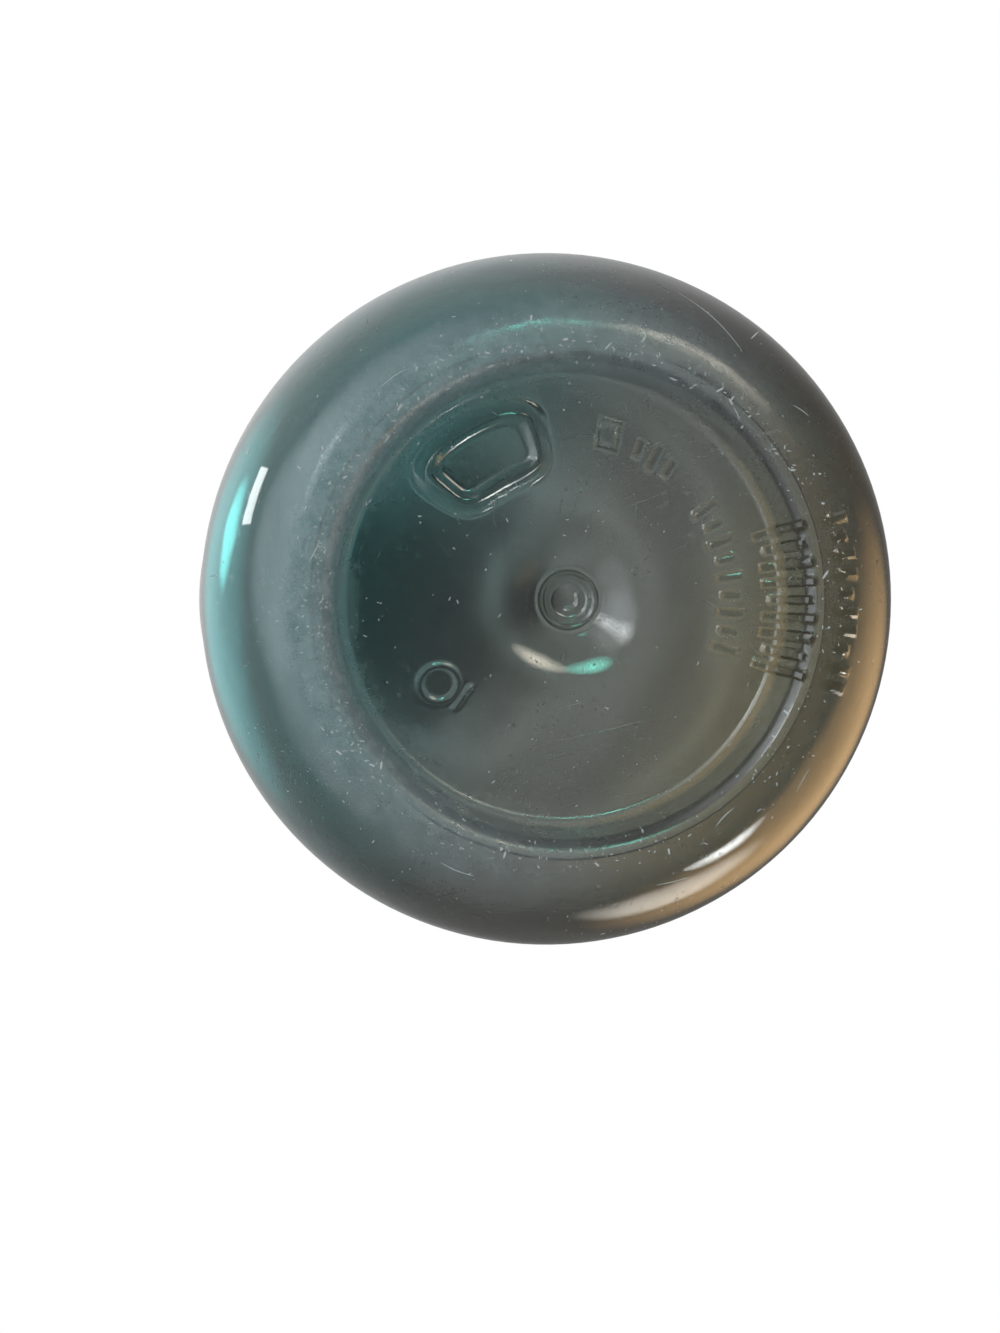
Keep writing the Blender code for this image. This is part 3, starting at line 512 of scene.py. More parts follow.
def scuff_group() -> bpy.types.NodeTree:
    """Makes the group of fine specks and scratches that handling leaves on plastic."""
    tree, entry, leave = new_group("handling_scuffs", {"Amount": 0.5, "Scale": 1.0}, ("Mask", "Height"))
    sized = tree.scaled(entry)
    warp = tree.node("TexNoise", Vector=sized, Scale=55.0, Detail=1.0).outputs["Color"]
    bent = tree.vector("MULTIPLY_ADD", warp, (0.006,) * 3, sized)
    worn = tree.spread(tree.noise(sized, 85.0, Detail=3.0, Roughness=0.6), 0.40, 0.64)
    joined = 0.0
    for scale, share in ((620.0, 0.80), (1500.0, 0.55)):
        specks = tree.node("TexVoronoi", Vector=bent, Scale=scale)
        dots = tree.spread(specks.outputs["Distance"], 0.10, 0.26, 1.0, 0.0)
        chance = tree.node("SeparateColor", Color=specks.outputs["Color"])
        rare = tree.math("GREATER_THAN", chance, share)
        joined = tree.math("MAXIMUM", joined, tree.product(dots, rare, worn))
    for angle, apart in ((0.25, 0.0), (1.30, 0.3), (2.35, 0.7)):
        lain = tree.node("VectorRotate", rotation_type="AXIS_ANGLE", Vector=bent, Angle=angle)
        drawn_out = tree.vector("MULTIPLY_ADD", lain, (75.0, 4200.0, 500.0), (apart * 10, apart * 10, 0.0))
        lines = tree.spread(tree.noise(drawn_out, 1.0, Detail=1.0), 0.73, 0.79)
        where = tree.spread(tree.noise(tree.vector("ADD", sized, (apart,) * 3), 60.0), 0.50, 0.62)
        joined = tree.math("MAXIMUM", joined, tree.product(lines, where))
    mask = tree.math("MULTIPLY", joined, entry.outputs["Amount"], clamp=True)
    tree.feed(leave, Mask=mask, Height=tree.product(mask, -1.0))
    return tree.tree


def grain_group() -> bpy.types.NodeTree:
    """Makes the group of the fine satin grain that a spark-eroded mould leaves."""
    tree, entry, leave = new_group("mould_grain", {"Scale": 1.0}, ("Height", "Cloud"))
    sized = tree.scaled(entry)
    fine = tree.noise(sized, 4200.0, Detail=2.0, Roughness=0.55)
    cloud = tree.spread(tree.noise(sized, 95.0, Detail=3.0, Roughness=0.5), 0.3, 0.7)
    tree.feed(leave, Height=fine, Cloud=cloud)
    return tree.tree


@dataclass(frozen=True)
class Effects:
    """Node groups that more than one finish uses."""

    scuffs: bpy.types.NodeTree
    grain: bpy.types.NodeTree

    def scuffed(
        self, tree: Tree, place: Socket, amount: object, scale: float = 1.0
    ) -> tuple[Socket, Socket]:
        """Returns the mask and the height of the scuffs."""
        node = tree.node("Group", node_tree=self.scuffs, Vector=place, Amount=amount, Scale=scale)
        return node.outputs["Mask"], node.outputs["Height"]

    def grained(self, tree: Tree, place: Socket, scale: float = 1.0) -> tuple[Socket, Socket]:
        """Returns the height of the grain and its slow clouds."""
        node = tree.node("Group", node_tree=self.grain, Vector=place, Scale=scale)
        return node.outputs["Height"], node.outputs["Cloud"]


def new_material(name: str) -> tuple[Material, Tree, bpy.types.Node, Socket]:
    """Starts a material, and returns it with its wiring, its main shader and the place on the piece."""
    material = bpy.data.materials.new(name)
    material.use_nodes = True
    tree = Tree(material.node_tree)
    place = tree.node("TexCoord").outputs["Object"]
    return material, tree, material.node_tree.nodes["Principled BSDF"], place


def darker(colour: Colour, share: float) -> Colour:
    """Returns a share of a colour."""
    return tuple(share * c for c in colour)


@dataclass(frozen=True)
class ClearPlastic:
    """Clear, smoky teal plastic, polished but hazy and scuffed where the bottle stands. Its base has
    painted light in its colour: teal light on one side, warm light on the other.

    A span gives two places or heights between which a value changes.
    """

    film: Colour = (0.89, 0.95, 0.95)
    # Painted light on the base: teal on one side, a warmer middle, warm on the other.
    teal_film: Colour = (0.42, 0.95, 0.98)
    base_film: Colour = (1.00, 0.89, 0.86)
    warm_film: Colour = (1.00, 0.77, 0.50)
    tint: Colour = (0.52, 0.575, 0.565)
    # Points towards the side with painted warm light, away from the painted teal light.
    lean: Point = (0.93, 0.37, 0.0)
    teal_across: Span = (-0.030, 0.005)
    warm_across: Span = (0.004, 0.034)
    plain_height: Span = (0.012, 0.060)
    density: float = 1000.0
    index: float = 1.57
    transmission: float = 0.95
    roughness: float = 0.035
    ring_roughness: float = 0.36
    inner_roughness: float = 0.26
    scuff_roughness: float = 0.6
    inner_height: Span = (0.012, 0.032)
    ring_in: Span = (0.0219, 0.0255)
    ring_out: Span = (0.0295, 0.0355)
    ring_across: Span = (0.0030, 0.0230)
    ring_height: Span = (0.0075, 0.0100)
    clear_side_haze: float = 0.55
    heel_height: Span = (0.004, 0.035)
    heel_scuffs: Span = (0.55, 0.22)
    shadow_share: float = 0.90

    def radius(self, tree: Tree, place: Socket) -> Socket:
        """Returns the distance from the bottle's axis."""
        return tree.vector("LENGTH", tree.vector("MULTIPLY", place, (1.0, 1.0, 0.0)))

    def across(self, tree: Tree, place: Socket) -> Socket:
        """Returns the distance from the middle towards the side where warm light is painted."""
        return tree.vector("DOT_PRODUCT", place, self.lean)

    def ring_mask(self, tree: Tree, place: Socket) -> Socket:
        """Returns 1 on the standing ring that the bottle wears on, and 0 away from it."""
        radius = self.radius(tree, place)
        return tree.product(
            tree.spread(tree.height(place), *self.ring_height, 1.0, 0.0),
            tree.spread(self.across(tree, place), *self.ring_across, 1.0, self.clear_side_haze),
            tree.spread(radius, *self.ring_in),
            tree.spread(radius, *self.ring_out, 1.0, 0.0),
        )

    def colour(self, tree: Tree, place: Socket) -> Socket:
        """Returns the film's colour with painted light on the base: teal light on one side, warm light on
        the other, plain above.
        """
        across = self.across(tree, place)
        # Painted teal light on one side, painted warm light on the other.
        teal = tree.blend(tree.spread(across, *self.teal_across), self.teal_film, self.base_film)
        both = tree.blend(tree.spread(across, *self.warm_across), teal, self.warm_film)
        return tree.blend(tree.spread(tree.height(place), *self.plain_height), both, self.film)

    def haze(self, tree: Tree, place: Socket, ring: Socket) -> Socket:
        """Returns the roughness that the worn ring and the blurred inner wall have."""
        patches = tree.spread(tree.noise(place, 220.0, Detail=4.0, Roughness=0.65), 0.30, 0.62, 0.25, 1.0)
        worn = tree.spread(tree.product(ring, patches), 0.0, 1.0, self.roughness, self.ring_roughness)
        inner = tree.node("Attribute", attribute_name=INNER_SKIN).outputs["Fac"]
        low = tree.spread(tree.height(place), *self.inner_height, self.inner_roughness, 0.0)
        return tree.math("MAXIMUM", worn, tree.product(inner, low))

    def material(self, effects: Effects) -> Material:
        """Builds the material."""
        material, tree, shader, place = new_material("clear_teal_plastic")
        ring = self.ring_mask(tree, place)
        heel = tree.spread(tree.height(place), *self.heel_height, *self.heel_scuffs)
        amount = tree.math("MAXIMUM", ring, heel)
        mask, dents = effects.scuffed(tree, place, amount)
        scratched = tree.product(mask, self.scuff_roughness)
        swell = tree.noise(place, 130.0, Detail=1.0)
        waves = tree.node("Bump", Strength=0.22, Distance=0.0006, Height=swell)
        bump = tree.node("Bump", Strength=1.0, Distance=0.00004, Height=dents, Normal=waves)
        tree.feed(
            shader,
            Base_Color=tree.blend(mask, self.colour(tree, place), WHITE),
            Roughness=tree.math("MAXIMUM", self.haze(tree, place, ring), scratched),
            Normal=bump,
            Transmission_Weight=self.transmission,
            IOR=self.index,
        )
        clear = tree.node("BsdfTransparent", Color=(*darker(WHITE, self.shadow_share), 1.0))
        shadow = tree.node("LightPath").outputs["Is Shadow Ray"]
        tree.put_out(
            Surface=tree.node("MixShader", Fac=shadow, i1=shader, i2=clear),
            Volume=tree.node("VolumeAbsorption", Color=(*self.tint, 1.0), Density=self.density),
        )
        return material


@dataclass(frozen=True)
class WornFilmAndSheen:
    """Pale haze of fine scratches and dust where the base is handled and set down, full on one side and
    thin on the other, where the extra haze is a painted sheen.
    """

    colour: Colour = (0.56, 0.71, 0.75)
    specks: Colour = (0.80, 0.84, 0.83)
    inner_r: Span = (0.0248, 0.0280)
    outer_r: Span = (0.0315, 0.0380)
    # The haze falls from full on one side to clear_side_haze on the other: painted sheen over real wear.
    across: Span = (-0.030, 0.022)
    clear_side_haze: float = 0.16
    haze: float = 0.47
    marks: float = 0.75
    roughness: Span = (0.55, 0.75)

    def material(self, effects: Effects) -> Material:
        """Builds the material."""
        material, tree, shader, place = new_material("worn_film")
        body = ClearPlastic()
        radius = body.radius(tree, place)
        # Painted sheen: the band is full on one side only.
        band = tree.product(
            tree.spread(radius, *self.inner_r),
            tree.spread(radius, *self.outer_r, 1.0, 0.0),
            tree.spread(body.across(tree, place), *self.across, 1.0, self.clear_side_haze),
        )
        clouds = tree.noise(place, 420.0, Detail=8.0, Roughness=0.78)
        haze = tree.product(band, tree.spread(clouds, 0.25, 0.75, 0.45, 1.0), self.haze)
        mask, _ = effects.scuffed(tree, place, 1.0)
        tree.feed(
            shader,
            Base_Color=tree.blend(mask, self.colour, self.specks),
            Alpha=tree.math("MAXIMUM", haze, tree.product(mask, band, self.marks)),
            Roughness=tree.spread(clouds, 0.3, 0.7, *self.roughness),
            Normal=tree.node("Bump", Strength=0.4, Distance=0.00003, Height=clouds),
        )
        return material


@dataclass(frozen=True)
class SatinPlastic:
    """Moulded plastic with a fine grain, lighter where it's scuffed."""

    name: str
    colour: Colour
    scuffed: Colour
    roughness: float = 0.40
    smoother: float = 0.04
    rougher: float = 0.05
    scuff_roughness: float = 0.15
    deep_share: float = 0.88
    grain_height: float = 0.00002
    wear: float = 0.5

    def material(self, effects: Effects) -> Material:
        """Builds the material."""
        material, tree, shader, place = new_material(self.name)
        grain, cloud = effects.grained(tree, place)
        mask, dents = effects.scuffed(tree, place, self.wear, 0.7)
        base = tree.blend(cloud, darker(self.colour, self.deep_share), self.colour)
        satin = tree.spread(cloud, 0.0, 1.0, self.roughness - self.smoother, self.roughness + self.rougher)
        fine = tree.node("Bump", Strength=0.6, Distance=self.grain_height, Height=grain)
        bump = tree.node("Bump", Strength=0.4, Distance=0.0001, Height=dents, Normal=fine)
        tree.feed(
            shader,
            Base_Color=tree.blend(mask, base, self.scuffed),
            Roughness=tree.math("ADD", satin, tree.product(mask, self.scuff_roughness)),
            Normal=bump,
        )
        return material


@dataclass(frozen=True)
class Silicone:
    """Soft grey silicone, matt, with a little dust in its pores."""

    colour: Colour = (0.40, 0.44, 0.44)
    dusty: Colour = (0.55, 0.57, 0.56)
    deep_share: float = 0.92
    roughness: Span = (0.52, 0.66)
    index: float = 1.41
    sheen: float = 0.15

    def material(self, effects: Effects) -> Material:
        """Builds the material."""
        material, tree, shader, place = new_material("grey_silicone")
        grain, cloud = effects.grained(tree, place, 0.6)
        dust, _ = effects.scuffed(tree, place, 0.6, 1.3)
        base = tree.blend(cloud, darker(self.colour, self.deep_share), self.colour)
        tree.feed(
            shader,
            Base_Color=tree.blend(dust, base, self.dusty),
            Roughness=tree.spread(cloud, 0.0, 1.0, *self.roughness),
            Normal=tree.node("Bump", Strength=0.5, Distance=0.00002, Height=grain),
            IOR=self.index,
            Sheen_Weight=self.sheen,
        )
        return material


@dataclass(frozen=True)
class TurnedSteel:
    """Stainless steel with fine turning lines round its axis, which lies along X."""

    colour: Colour = (0.62, 0.62, 0.60)
    deep_share: float = 0.85
    roughness: Span = (0.22, 0.36)
    scuff_roughness: float = 0.2

    def material(self, effects: Effects) -> Material:
        """Builds the material."""
        material, tree, shader, place = new_material("turned_steel")
        lines = tree.noise(tree.vector("MULTIPLY", place, (9000.0, 260.0, 260.0)), 1.0, Detail=2.0)
        mask, _ = effects.scuffed(tree, place, 0.5, 1.2)
        deep = darker(self.colour, self.deep_share)
        rough = tree.spread(lines, 0.3, 0.7, *self.roughness)
        tree.feed(
            shader,
            Base_Color=tree.blend(tree.spread(lines, 0.3, 0.7), deep, self.colour),
            Roughness=tree.math("ADD", rough, tree.product(mask, self.scuff_roughness)),
            Normal=tree.node("Bump", Strength=0.3, Distance=0.00002, Height=lines),
            Metallic=1.0,
        )
        return material


@dataclass(frozen=True)
class Finishes:
    """The part's finishes, one for each material slot."""

    materials: dict[Slot, Material]
    flecks: Material
    # The worn haze, with its painted sheen.
    film: Material

    @classmethod
    def build(cls) -> "Finishes":
        """Builds the node groups and all the materials."""
        effects = Effects(scuff_group(), grain_group())
        slate = SatinPlastic("slate_plastic", (0.036, 0.060, 0.062), (0.16, 0.19, 0.19))
        teal = SatinPlastic("teal_plastic", (0.050, 0.215, 0.205), (0.22, 0.38, 0.37), 0.36)
        flecks = SatinPlastic("scuffed_plastic", (0.56, 0.62, 0.62), (0.75, 0.80, 0.79), 0.65)
        return cls(
            {
                Slot.CLEAR_TEAL: ClearPlastic().material(effects),
                Slot.SLATE: slate.material(effects),
                Slot.TEAL: teal.material(effects),
                Slot.SILICONE: Silicone().material(effects),
                Slot.STEEL: TurnedSteel().material(effects),
            },
            flecks.material(effects),
            WornFilmAndSheen().material(effects),
        )

    def dress(
        self, piece: Piece, slot: Slot, body: str, node: str | None, finish: Material | None = None
    ) -> None:
        """Gives a piece its finish, its body and the node that it stands for.

        Args:
            piece: The finished piece.
            slot: Its material slot.
            body: The moving body that it belongs to.
            node: The node of the part that it replaces, if any.
            finish: Its material, where it isn't the slot's own.
        """
        piece.data.materials.clear()
        piece.data.materials.append(finish or self.materials[slot])
        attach(piece, body)
        if node:
            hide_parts(node)
        LOG.info("%s stands for %s on %s, %s", piece.name, node, body, slot.value)


@dataclass(frozen=True)
class Datum:
    """Places that the sub-assemblies share, read from the part's joints and nodes."""

    body_radius: float
    lip_z: float
    deck_under_z: float
    deck_z: float
    hinge_y: float
    hinge_z: float
    pivot_z: float
    seat: float = 0.0003

    @classmethod
    def from_part(cls) -> "Datum":
        """Reads the joints' axes and the boxes of the shell and the gasket."""
        places = {joint["name"]: joint.get("pos_m") for joint in frame["joints"]}
        shell_high, gasket_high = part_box("bottle_shell")[1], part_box("neck_gasket")[1]
        return cls(
            body_radius=shell_high.x,
            lip_z=shell_high.z,
            deck_under_z=gasket_high.z + cls.seat,
            deck_z=places["closure_turn"][2],
            hinge_y=places["cap_hinge"][1],
            hinge_z=places["cap_hinge"][2],
            pivot_z=places["loop_swing"][2],
        )


@dataclass(frozen=True)
class Thread:
    """A helical ridge with a trapezoid section that dies away at both ends."""

    start_z: float
    pitch: float = 0.0055
    turns: float = 1.25
    height: float = 0.0014
    root_w: float = 0.0024
    crest_w: float = 0.0012
    fade_turns: float = 0.08

    def rise(self, height: float, angles: Array) -> Array:
        """Returns how far the ridge stands out at a height, for each column."""
        highest = np.zeros(len(angles))
        for lap in range(ceil(self.turns)):
            along = angles / TURN + lap
            off = np.abs(height - self.start_z - self.pitch * along)
            flank = 1.0 - ease(self.crest_w / 2, self.root_w / 2, off)
            start = ease(0.0, self.fade_turns, along)
            end = 1.0 - ease(self.turns - self.fade_turns, self.turns, along)
            highest = np.maximum(highest, flank * start * end)
        return self.height * highest


@dataclass(frozen=True)
class Patch:
    """A patch of a turned surface in polar places, and how full its rounded corners are."""

    inner_r: float
    outer_r: float
    place: float
    span: float
    fullness: float = 5.0

    def inside(self, radius: float, angles: Array, inset: float, edge: float) -> Array:
        """Returns 1 inside the patch, drawn in by an inset, falling to 0 over the edge outside it.

        Args:
            radius: The ring's radius.
            angles: The ring's columns.
            inset: How far the patch is drawn in all round.
            edge: Width of the soft edge.

        Returns:
            The share for each column.
        """
        middle = (self.inner_r + self.outer_r) / 2
        half_r = (self.outer_r - self.inner_r) / 2 - inset
        half_turn = self.span / 2 - inset / middle
        across = np.abs(turn_from(self.place, angles)) / half_turn
        outwards = abs(radius - middle) / half_r
        distance = (across**self.fullness + outwards**self.fullness) ** (1 / self.fullness)
        return 1.0 - ease(1.0 - edge / half_r / 2, 1.0 + edge / half_r / 2, distance)


@dataclass(frozen=True)
class GatePip:
    """The round gate pip in the bowl: a rim round a dish, with a groove outside it and a scar inside."""

    radius: float = 0.0037
    height: float = 0.0010
    rim_inset: float = 0.0003
    rim_edge: float = 0.0005
    dish_inset: float = 0.0012
    dish_edge: float = 0.0012
    dish_depth: float = 0.00060
    groove_half_w: float = 0.0002
    groove_depth: float = 0.00045
    scar_r: float = 0.0012
    scar_half_w: float = 0.00025
    scar_h: float = 0.0003
    scar_place: float = 0.6
    scar_half_turn: float = 1.25
    scar_end: float = 0.5
    fine_edge: float = 0.0004

    def relief(self, radius: float, angles: Array) -> Array:
        """Returns how far the pip stands down from the base at a radius, for each column."""
        rim = self.height * within(self.radius - self.rim_inset, self.rim_edge, radius)
        dish = self.dish_depth * within(self.radius - self.dish_inset, self.dish_edge, radius)
        groove = self.groove_depth * within(self.groove_half_w, self.fine_edge, radius - self.radius)
        scar = self.scar_h * within(self.scar_half_w, self.fine_edge, radius - self.scar_r)
        turn = turn_from(self.scar_place, angles)
        return rim - dish - groove + scar * within(self.scar_half_turn, self.scar_end, turn)


@dataclass(frozen=True)
class DiscMarks:
    """Plain raised marks on the base's disc: a row of ticks, a ring with a dash, and a small box."""

    ticks: int = 16
    gaps: tuple[int, ...] = (0, 1, 5, 6)
    first_tick: float = radians(-76)
    tick_step: float = radians(6.2)
    tick_row_r: float = 0.0198
    tick_half_w: float = 0.00048
    tick_half_lengths: Span = (0.0012, 0.0017)
    tick_h: float = 0.00075
    edge: float = 0.0005
    soft_edge: float = 0.0006
    ring_x: float = -0.0150
    ring_y: float = 0.0098
    ring_r: float = 0.0021
    ring_half_w: float = 0.00036
    ring_h: float = 0.00016
    dash_lean: float = 0.6
    dash_off: float = 0.0036
    dash_half_w: float = 0.0004
    dash_half_length: float = 0.0018
    box_place: float = radians(-75)
    box_middle_r: float = 0.0200
    box_half_w: float = 0.0014
    box_half_length: float = 0.0019
    box_line: float = 0.85
    box_line_half_w: float = 0.17
    box_line_edge: float = 0.20
    box_h: float = 0.00070

    def tick_row(self, radius: float, angles: Array) -> Array:
        """Returns the ticks' height at a radius, for each column."""
        total = np.zeros(len(angles))
        for i in range(self.ticks):
            if i not in self.gaps:
                place = self.first_tick + self.tick_step * i
                across = within(self.tick_half_w, self.edge, radius * np.sin(angles - place))
                along = radius * np.cos(angles - place) - self.tick_row_r
                tick = across * within(self.tick_half_lengths[i % 2], self.edge, along)
                total = np.maximum(total, self.tick_h * tick)
        return total

    def ring_and_dash(self, radius: float, angles: Array) -> Array:
        """Returns the height of the ring and its dash at a radius, for each column."""
        x, y = radius * np.cos(angles) - self.ring_x, radius * np.sin(angles) - self.ring_y
        ring = within(self.ring_half_w, self.soft_edge, np.hypot(x, y) - self.ring_r)
        across = within(self.dash_half_w, self.edge, x + self.dash_lean * y - self.dash_off)
        dash = across * within(self.dash_half_length, self.soft_edge, y - self.dash_lean * x)
        return self.ring_h * np.maximum(ring, dash)

    def box(self, radius: float, angles: Array) -> Array:
        """Returns the height of the box's outline at a radius, for each column."""
        across = radius * np.sin(angles - self.box_place)
        along = radius * np.cos(angles - self.box_place) - self.box_middle_r
        off = np.maximum(np.abs(across) / self.box_half_w, np.abs(along) / self.box_half_length)
        return self.box_h * within(self.box_line_half_w, self.box_line_edge, off - self.box_line)

    def relief(self, radius: float, angles: Array) -> Array:
        """Returns how far the marks stand down from the disc at a radius, for each column."""
        parts = (self.tick_row, self.ring_and_dash, self.box)
        return np.max([part(radius, angles) for part in parts], axis=0)


@dataclass(frozen=True)
class BarRow:
    """A row of raised bars between two radii, from a first angle on in even steps, both in degrees."""

    inner_r: float
    outer_r: float
    first: float
    step: float
    count: int


@dataclass(frozen=True)
class RimBars:
    """The rows of plain raised bars on the base's rim, round +X."""

    rows: tuple[BarRow, ...] = (
        BarRow(0.0238, 0.0288, -18.0, 4.5, 9), BarRow(0.0308, 0.0338, -17.0, 3.9, 10)
    )
    width: float = 0.0010
    height: float = 0.00040
    edge: float = 0.0003
    shorter: float = 0.0007

    @property
    def end_r(self) -> float:
        """Radius beyond which there are no bars."""
        return self.rows[-1].outer_r + self.edge

    def relief(self, radius: float, angles: Array) -> Array:
        """Returns how far the bars stand out of the base at a radius, for each column."""
        turn = turn_from(0.0, angles)
        total = np.zeros(len(angles))
        for row in self.rows:
            middle = (row.inner_r + row.outer_r) / 2
            for i in range(row.count):
                half = (row.outer_r - row.inner_r) / 2 - self.shorter * (i % 3 == 1)
                along = within(half, self.edge, radius - middle)
                across = radius * (turn - radians(row.first + row.step * i))
                total = np.maximum(total, along * within(self.width / 2, self.edge, across))
        return self.height * total


@dataclass
class ClearBody:
    """The blow-moulded body: push-up base, rounded heel, waist, shoulder and threaded neck."""

    datum: Datum
    wall: float = 0.0018
    heel_h: float = 0.0210
    lower_top_r: float = 0.0413
    grip_r: float = 0.0378
    upper_r: float = 0.0405
    lower_h: float = 0.0710
    tall_share: float = 0.7
    blend_h: float = 0.0200
    grip_h: float = 0.0360
    upper_h: float = 0.0180
    shoulder_h: float = 0.0260
    neck_r: float = 0.0232
    neck_wall: float = 0.0026
    neck_step: float = 0.00028
    bead_r: float = 0.0258
    bead_h: float = 0.0020
    bead_foot: float = 0.0010
    bead_round: float = 0.0008
    fillet: float = 0.0004
    lip_round: float = 0.0005
    thread_top: float = 0.0030
    ring_r: float = 0.0300
    ring_middle: float = 0.02974
    ring_arc: float = 0.0024
    ring_wall: float = 0.0015
    disc_wall: float = 0.0015
    recess_h: float = 0.0070
    recess_lean: float = radians(75)
    disc_arc: float = 0.0012
    crown: float = 0.0012
    bowl_r: float = 0.0084
    bowl_h: float = 0.0034
    bowl_foot: float = 0.0034
    bowl_round: float = 0.0012
    bowl_wobble: tuple[tuple[float, int, float], ...] = ((0.035, 2, 0.8), (0.025, 3, -0.5))
    drift: float = 0.0012
    pip_zone: float = 0.0048
    steep_wall: float = 0.7
    boss: Patch = Patch(0.0146, 0.0240, radians(240.5), radians(44), 3.4)
    boss_edge: float = 0.0014
    boss_drop: float = 0.0007
    window: Patch = Patch(0.0150, 0.0236, radians(240.5), radians(42), 5.0)
    window_edge: float = 0.0010
    window_depth: float = 0.0004
    frame_w: float = 0.0015
    ridge_w: float = 0.0010
    ridge_edge: float = 0.0009
    ridge_h: float = 0.0004
    pip: GatePip = GatePip()
    marks: DiscMarks = DiscMarks()
    bars: RimBars = RimBars()
    waves: int = 5
    wave_length: float = 0.0085
    wave_growth: float = 0.0031
    inside_wave: float = 0.00009
    side_wave_share: float = 0.6
    wave_fade: float = 0.0030
    uneven: float = 0.0006
    thin_side: float = radians(33)
    heel_extra: float = 0.0013
    heel_extra_left: float = 0.0003
    thick_side: float = radians(15)
    heel_swell: float = 0.7
    heel_turn: float = pi / 9
    coarse: int = 144
    fine: int = 576
    fewer: tuple[tuple[float, int], ...] = ((0.0014, 48), (0.0042, 144), (0.0095, 288))
    base_step: float = 0.00030

    def __post_init__(self) -> None:
        """Works out the heights, the recess and the thread."""
        self.lower_top_z = self.heel_h + self.lower_h
        self.lower_low_z = self.heel_h + self.tall_share * self.lower_h
        self.grip_low_z = self.lower_top_z + self.blend_h
        self.grip_high_z = self.grip_low_z + self.grip_h
        self.upper_low_z = self.grip_high_z + self.blend_h
        self.shoulder_z = self.upper_low_z + self.upper_h
        self.neck_z = self.shoulder_z + self.shoulder_h
        self.bore_r = self.neck_r - self.neck_wall
        self.recess, self.leans = self.recess_profile()
        self.disc_r = float(self.recess[0, 0])
        self.thread = Thread(self.datum.lip_z - self.thread_top - Thread.pitch * Thread.turns)

    def side_radius(self, z: float) -> float:
        """Returns the outside radius of the side wall, the waist or the shoulder at a height."""
        if z <= self.lower_top_z:
            share = (z - self.heel_h) / self.lower_h
            return self.datum.body_radius + (self.lower_top_r - self.datum.body_radius) * share
        if z <= self.grip_high_z:
            fall = ease(self.lower_top_z, self.grip_low_z, z)
            return self.lower_top_r + (self.grip_r - self.lower_top_r) * fall
        if z <= self.shoulder_z:
            rise = ease(self.grip_high_z, self.upper_low_z, z)
            return self.grip_r + (self.upper_r - self.grip_r) * rise
        rise = min((z - self.shoulder_z) / self.shoulder_h, 1.0)
        return self.neck_r + (self.upper_r - self.neck_r) * sqrt(1 - rise * rise)

    def recess_profile(self) -> tuple[Array, Array]:
        """Works out the recess wall, from the disc's edge to the standing ring.

        Returns:
            Four rows, the outside's radii and heights and the inside's, and how far the wall leans there.
        """
        sine, cosine = sin(self.recess_lean), cos(self.recess_lean)
        both = self.disc_arc + self.ring_arc
        straight = (self.recess_h - both * (1 - cosine)) / sine
        start = self.ring_middle - both * sine - straight * cosine
        top, foot = [], []
        for t in stations(0, self.recess_lean, 10):
            top.append((start + self.disc_arc * sin(t), self.recess_h + self.disc_arc * (cos(t) - 1), t))
            foot.append((self.ring_middle - self.ring_arc * sin(t), self.ring_arc * (1 - cos(t)), t))
        r, z, leans = np.array(top + foot[::-1]).T
        wall = np.linspace(self.disc_wall, self.ring_wall, len(r))
        return np.array([r, z, r + wall * np.sin(leans), z + wall * np.cos(leans)]), leans

    def bowl(self, radius: float, angles: Array, inside: bool) -> Array:
        """Returns the bowl's depth at a radius for each column, from 0 outside it to 1 on its floor."""
        grow = self.disc_wall * self.steep_wall if inside else 0.0
        wobble = sum(size * np.sin(count * angles + start) for size, count, start in self.bowl_wobble)
        share = (radius - grow) / (self.bowl_r * (1 + wobble))
        run = 1 - self.bowl_foot / self.bowl_r
        slope = (1 - share) / run
        soft = self.bowl_round / (self.bowl_r * run)
        return soft * np.logaddexp(0, slope / soft) - soft * np.logaddexp(0, (slope - 1) / soft)

    def base_z(self, radius: float, angles: Array, inside: bool = False) -> Array:
        """Returns the base's plain height at a radius, outside or inside, for each column."""
        plain = np.interp(radius, *(self.recess[2:] if inside else self.recess[:2]))
        crown = max(0.0, 1 - (radius / self.disc_r) ** 2)
        uneven = self.uneven * radius / self.disc_r * np.cos(angles - self.thin_side) if inside else 0.0
        return plain + self.crown * crown + self.bowl_h * self.bowl(radius, angles, inside) - uneven

    def base_relief(self, radius: float, angles: Array) -> Array:
        """Returns how far the pip and the marks stand down from the base, for each column."""
        return self.pip.relief(radius, angles) + self.marks.relief(radius, angles)

    def shaped_z(self, radius: float, angles: Array) -> Array:
        """Returns the base's outside height with its boss, window, pip and marks, for each column."""
        z = self.base_z(radius, angles)
        raised = self.boss.inside(radius, angles, 0.0, self.boss_edge)
        z = z * (1 - raised) + np.minimum(z, self.recess_h - self.boss_drop) * raised
        rim = self.window.inside(radius, angles, self.frame_w - self.ridge_w, self.ridge_edge)
        window = self.window.inside(radius, angles, self.frame_w, self.window_edge)
        z = z + self.window_depth * window - self.ridge_h * (rim - window)
        return z - self.base_relief(radius, angles) * (1 - raised)

    def wave(self, x: Array, y: Array) -> Array:
        """Returns the slow waviness that blowing leaves on the inside, from -1 to 1."""
        total = np.zeros(np.shape(x))
        for k in range(self.waves):
            heading = 0.7 + 2.4 * k
            along = x * cos(heading) + y * sin(heading)
            total += np.sin(TURN * along / (self.wave_length + self.wave_growth * k) + 1.9 * k * k)
        return total / self.waves

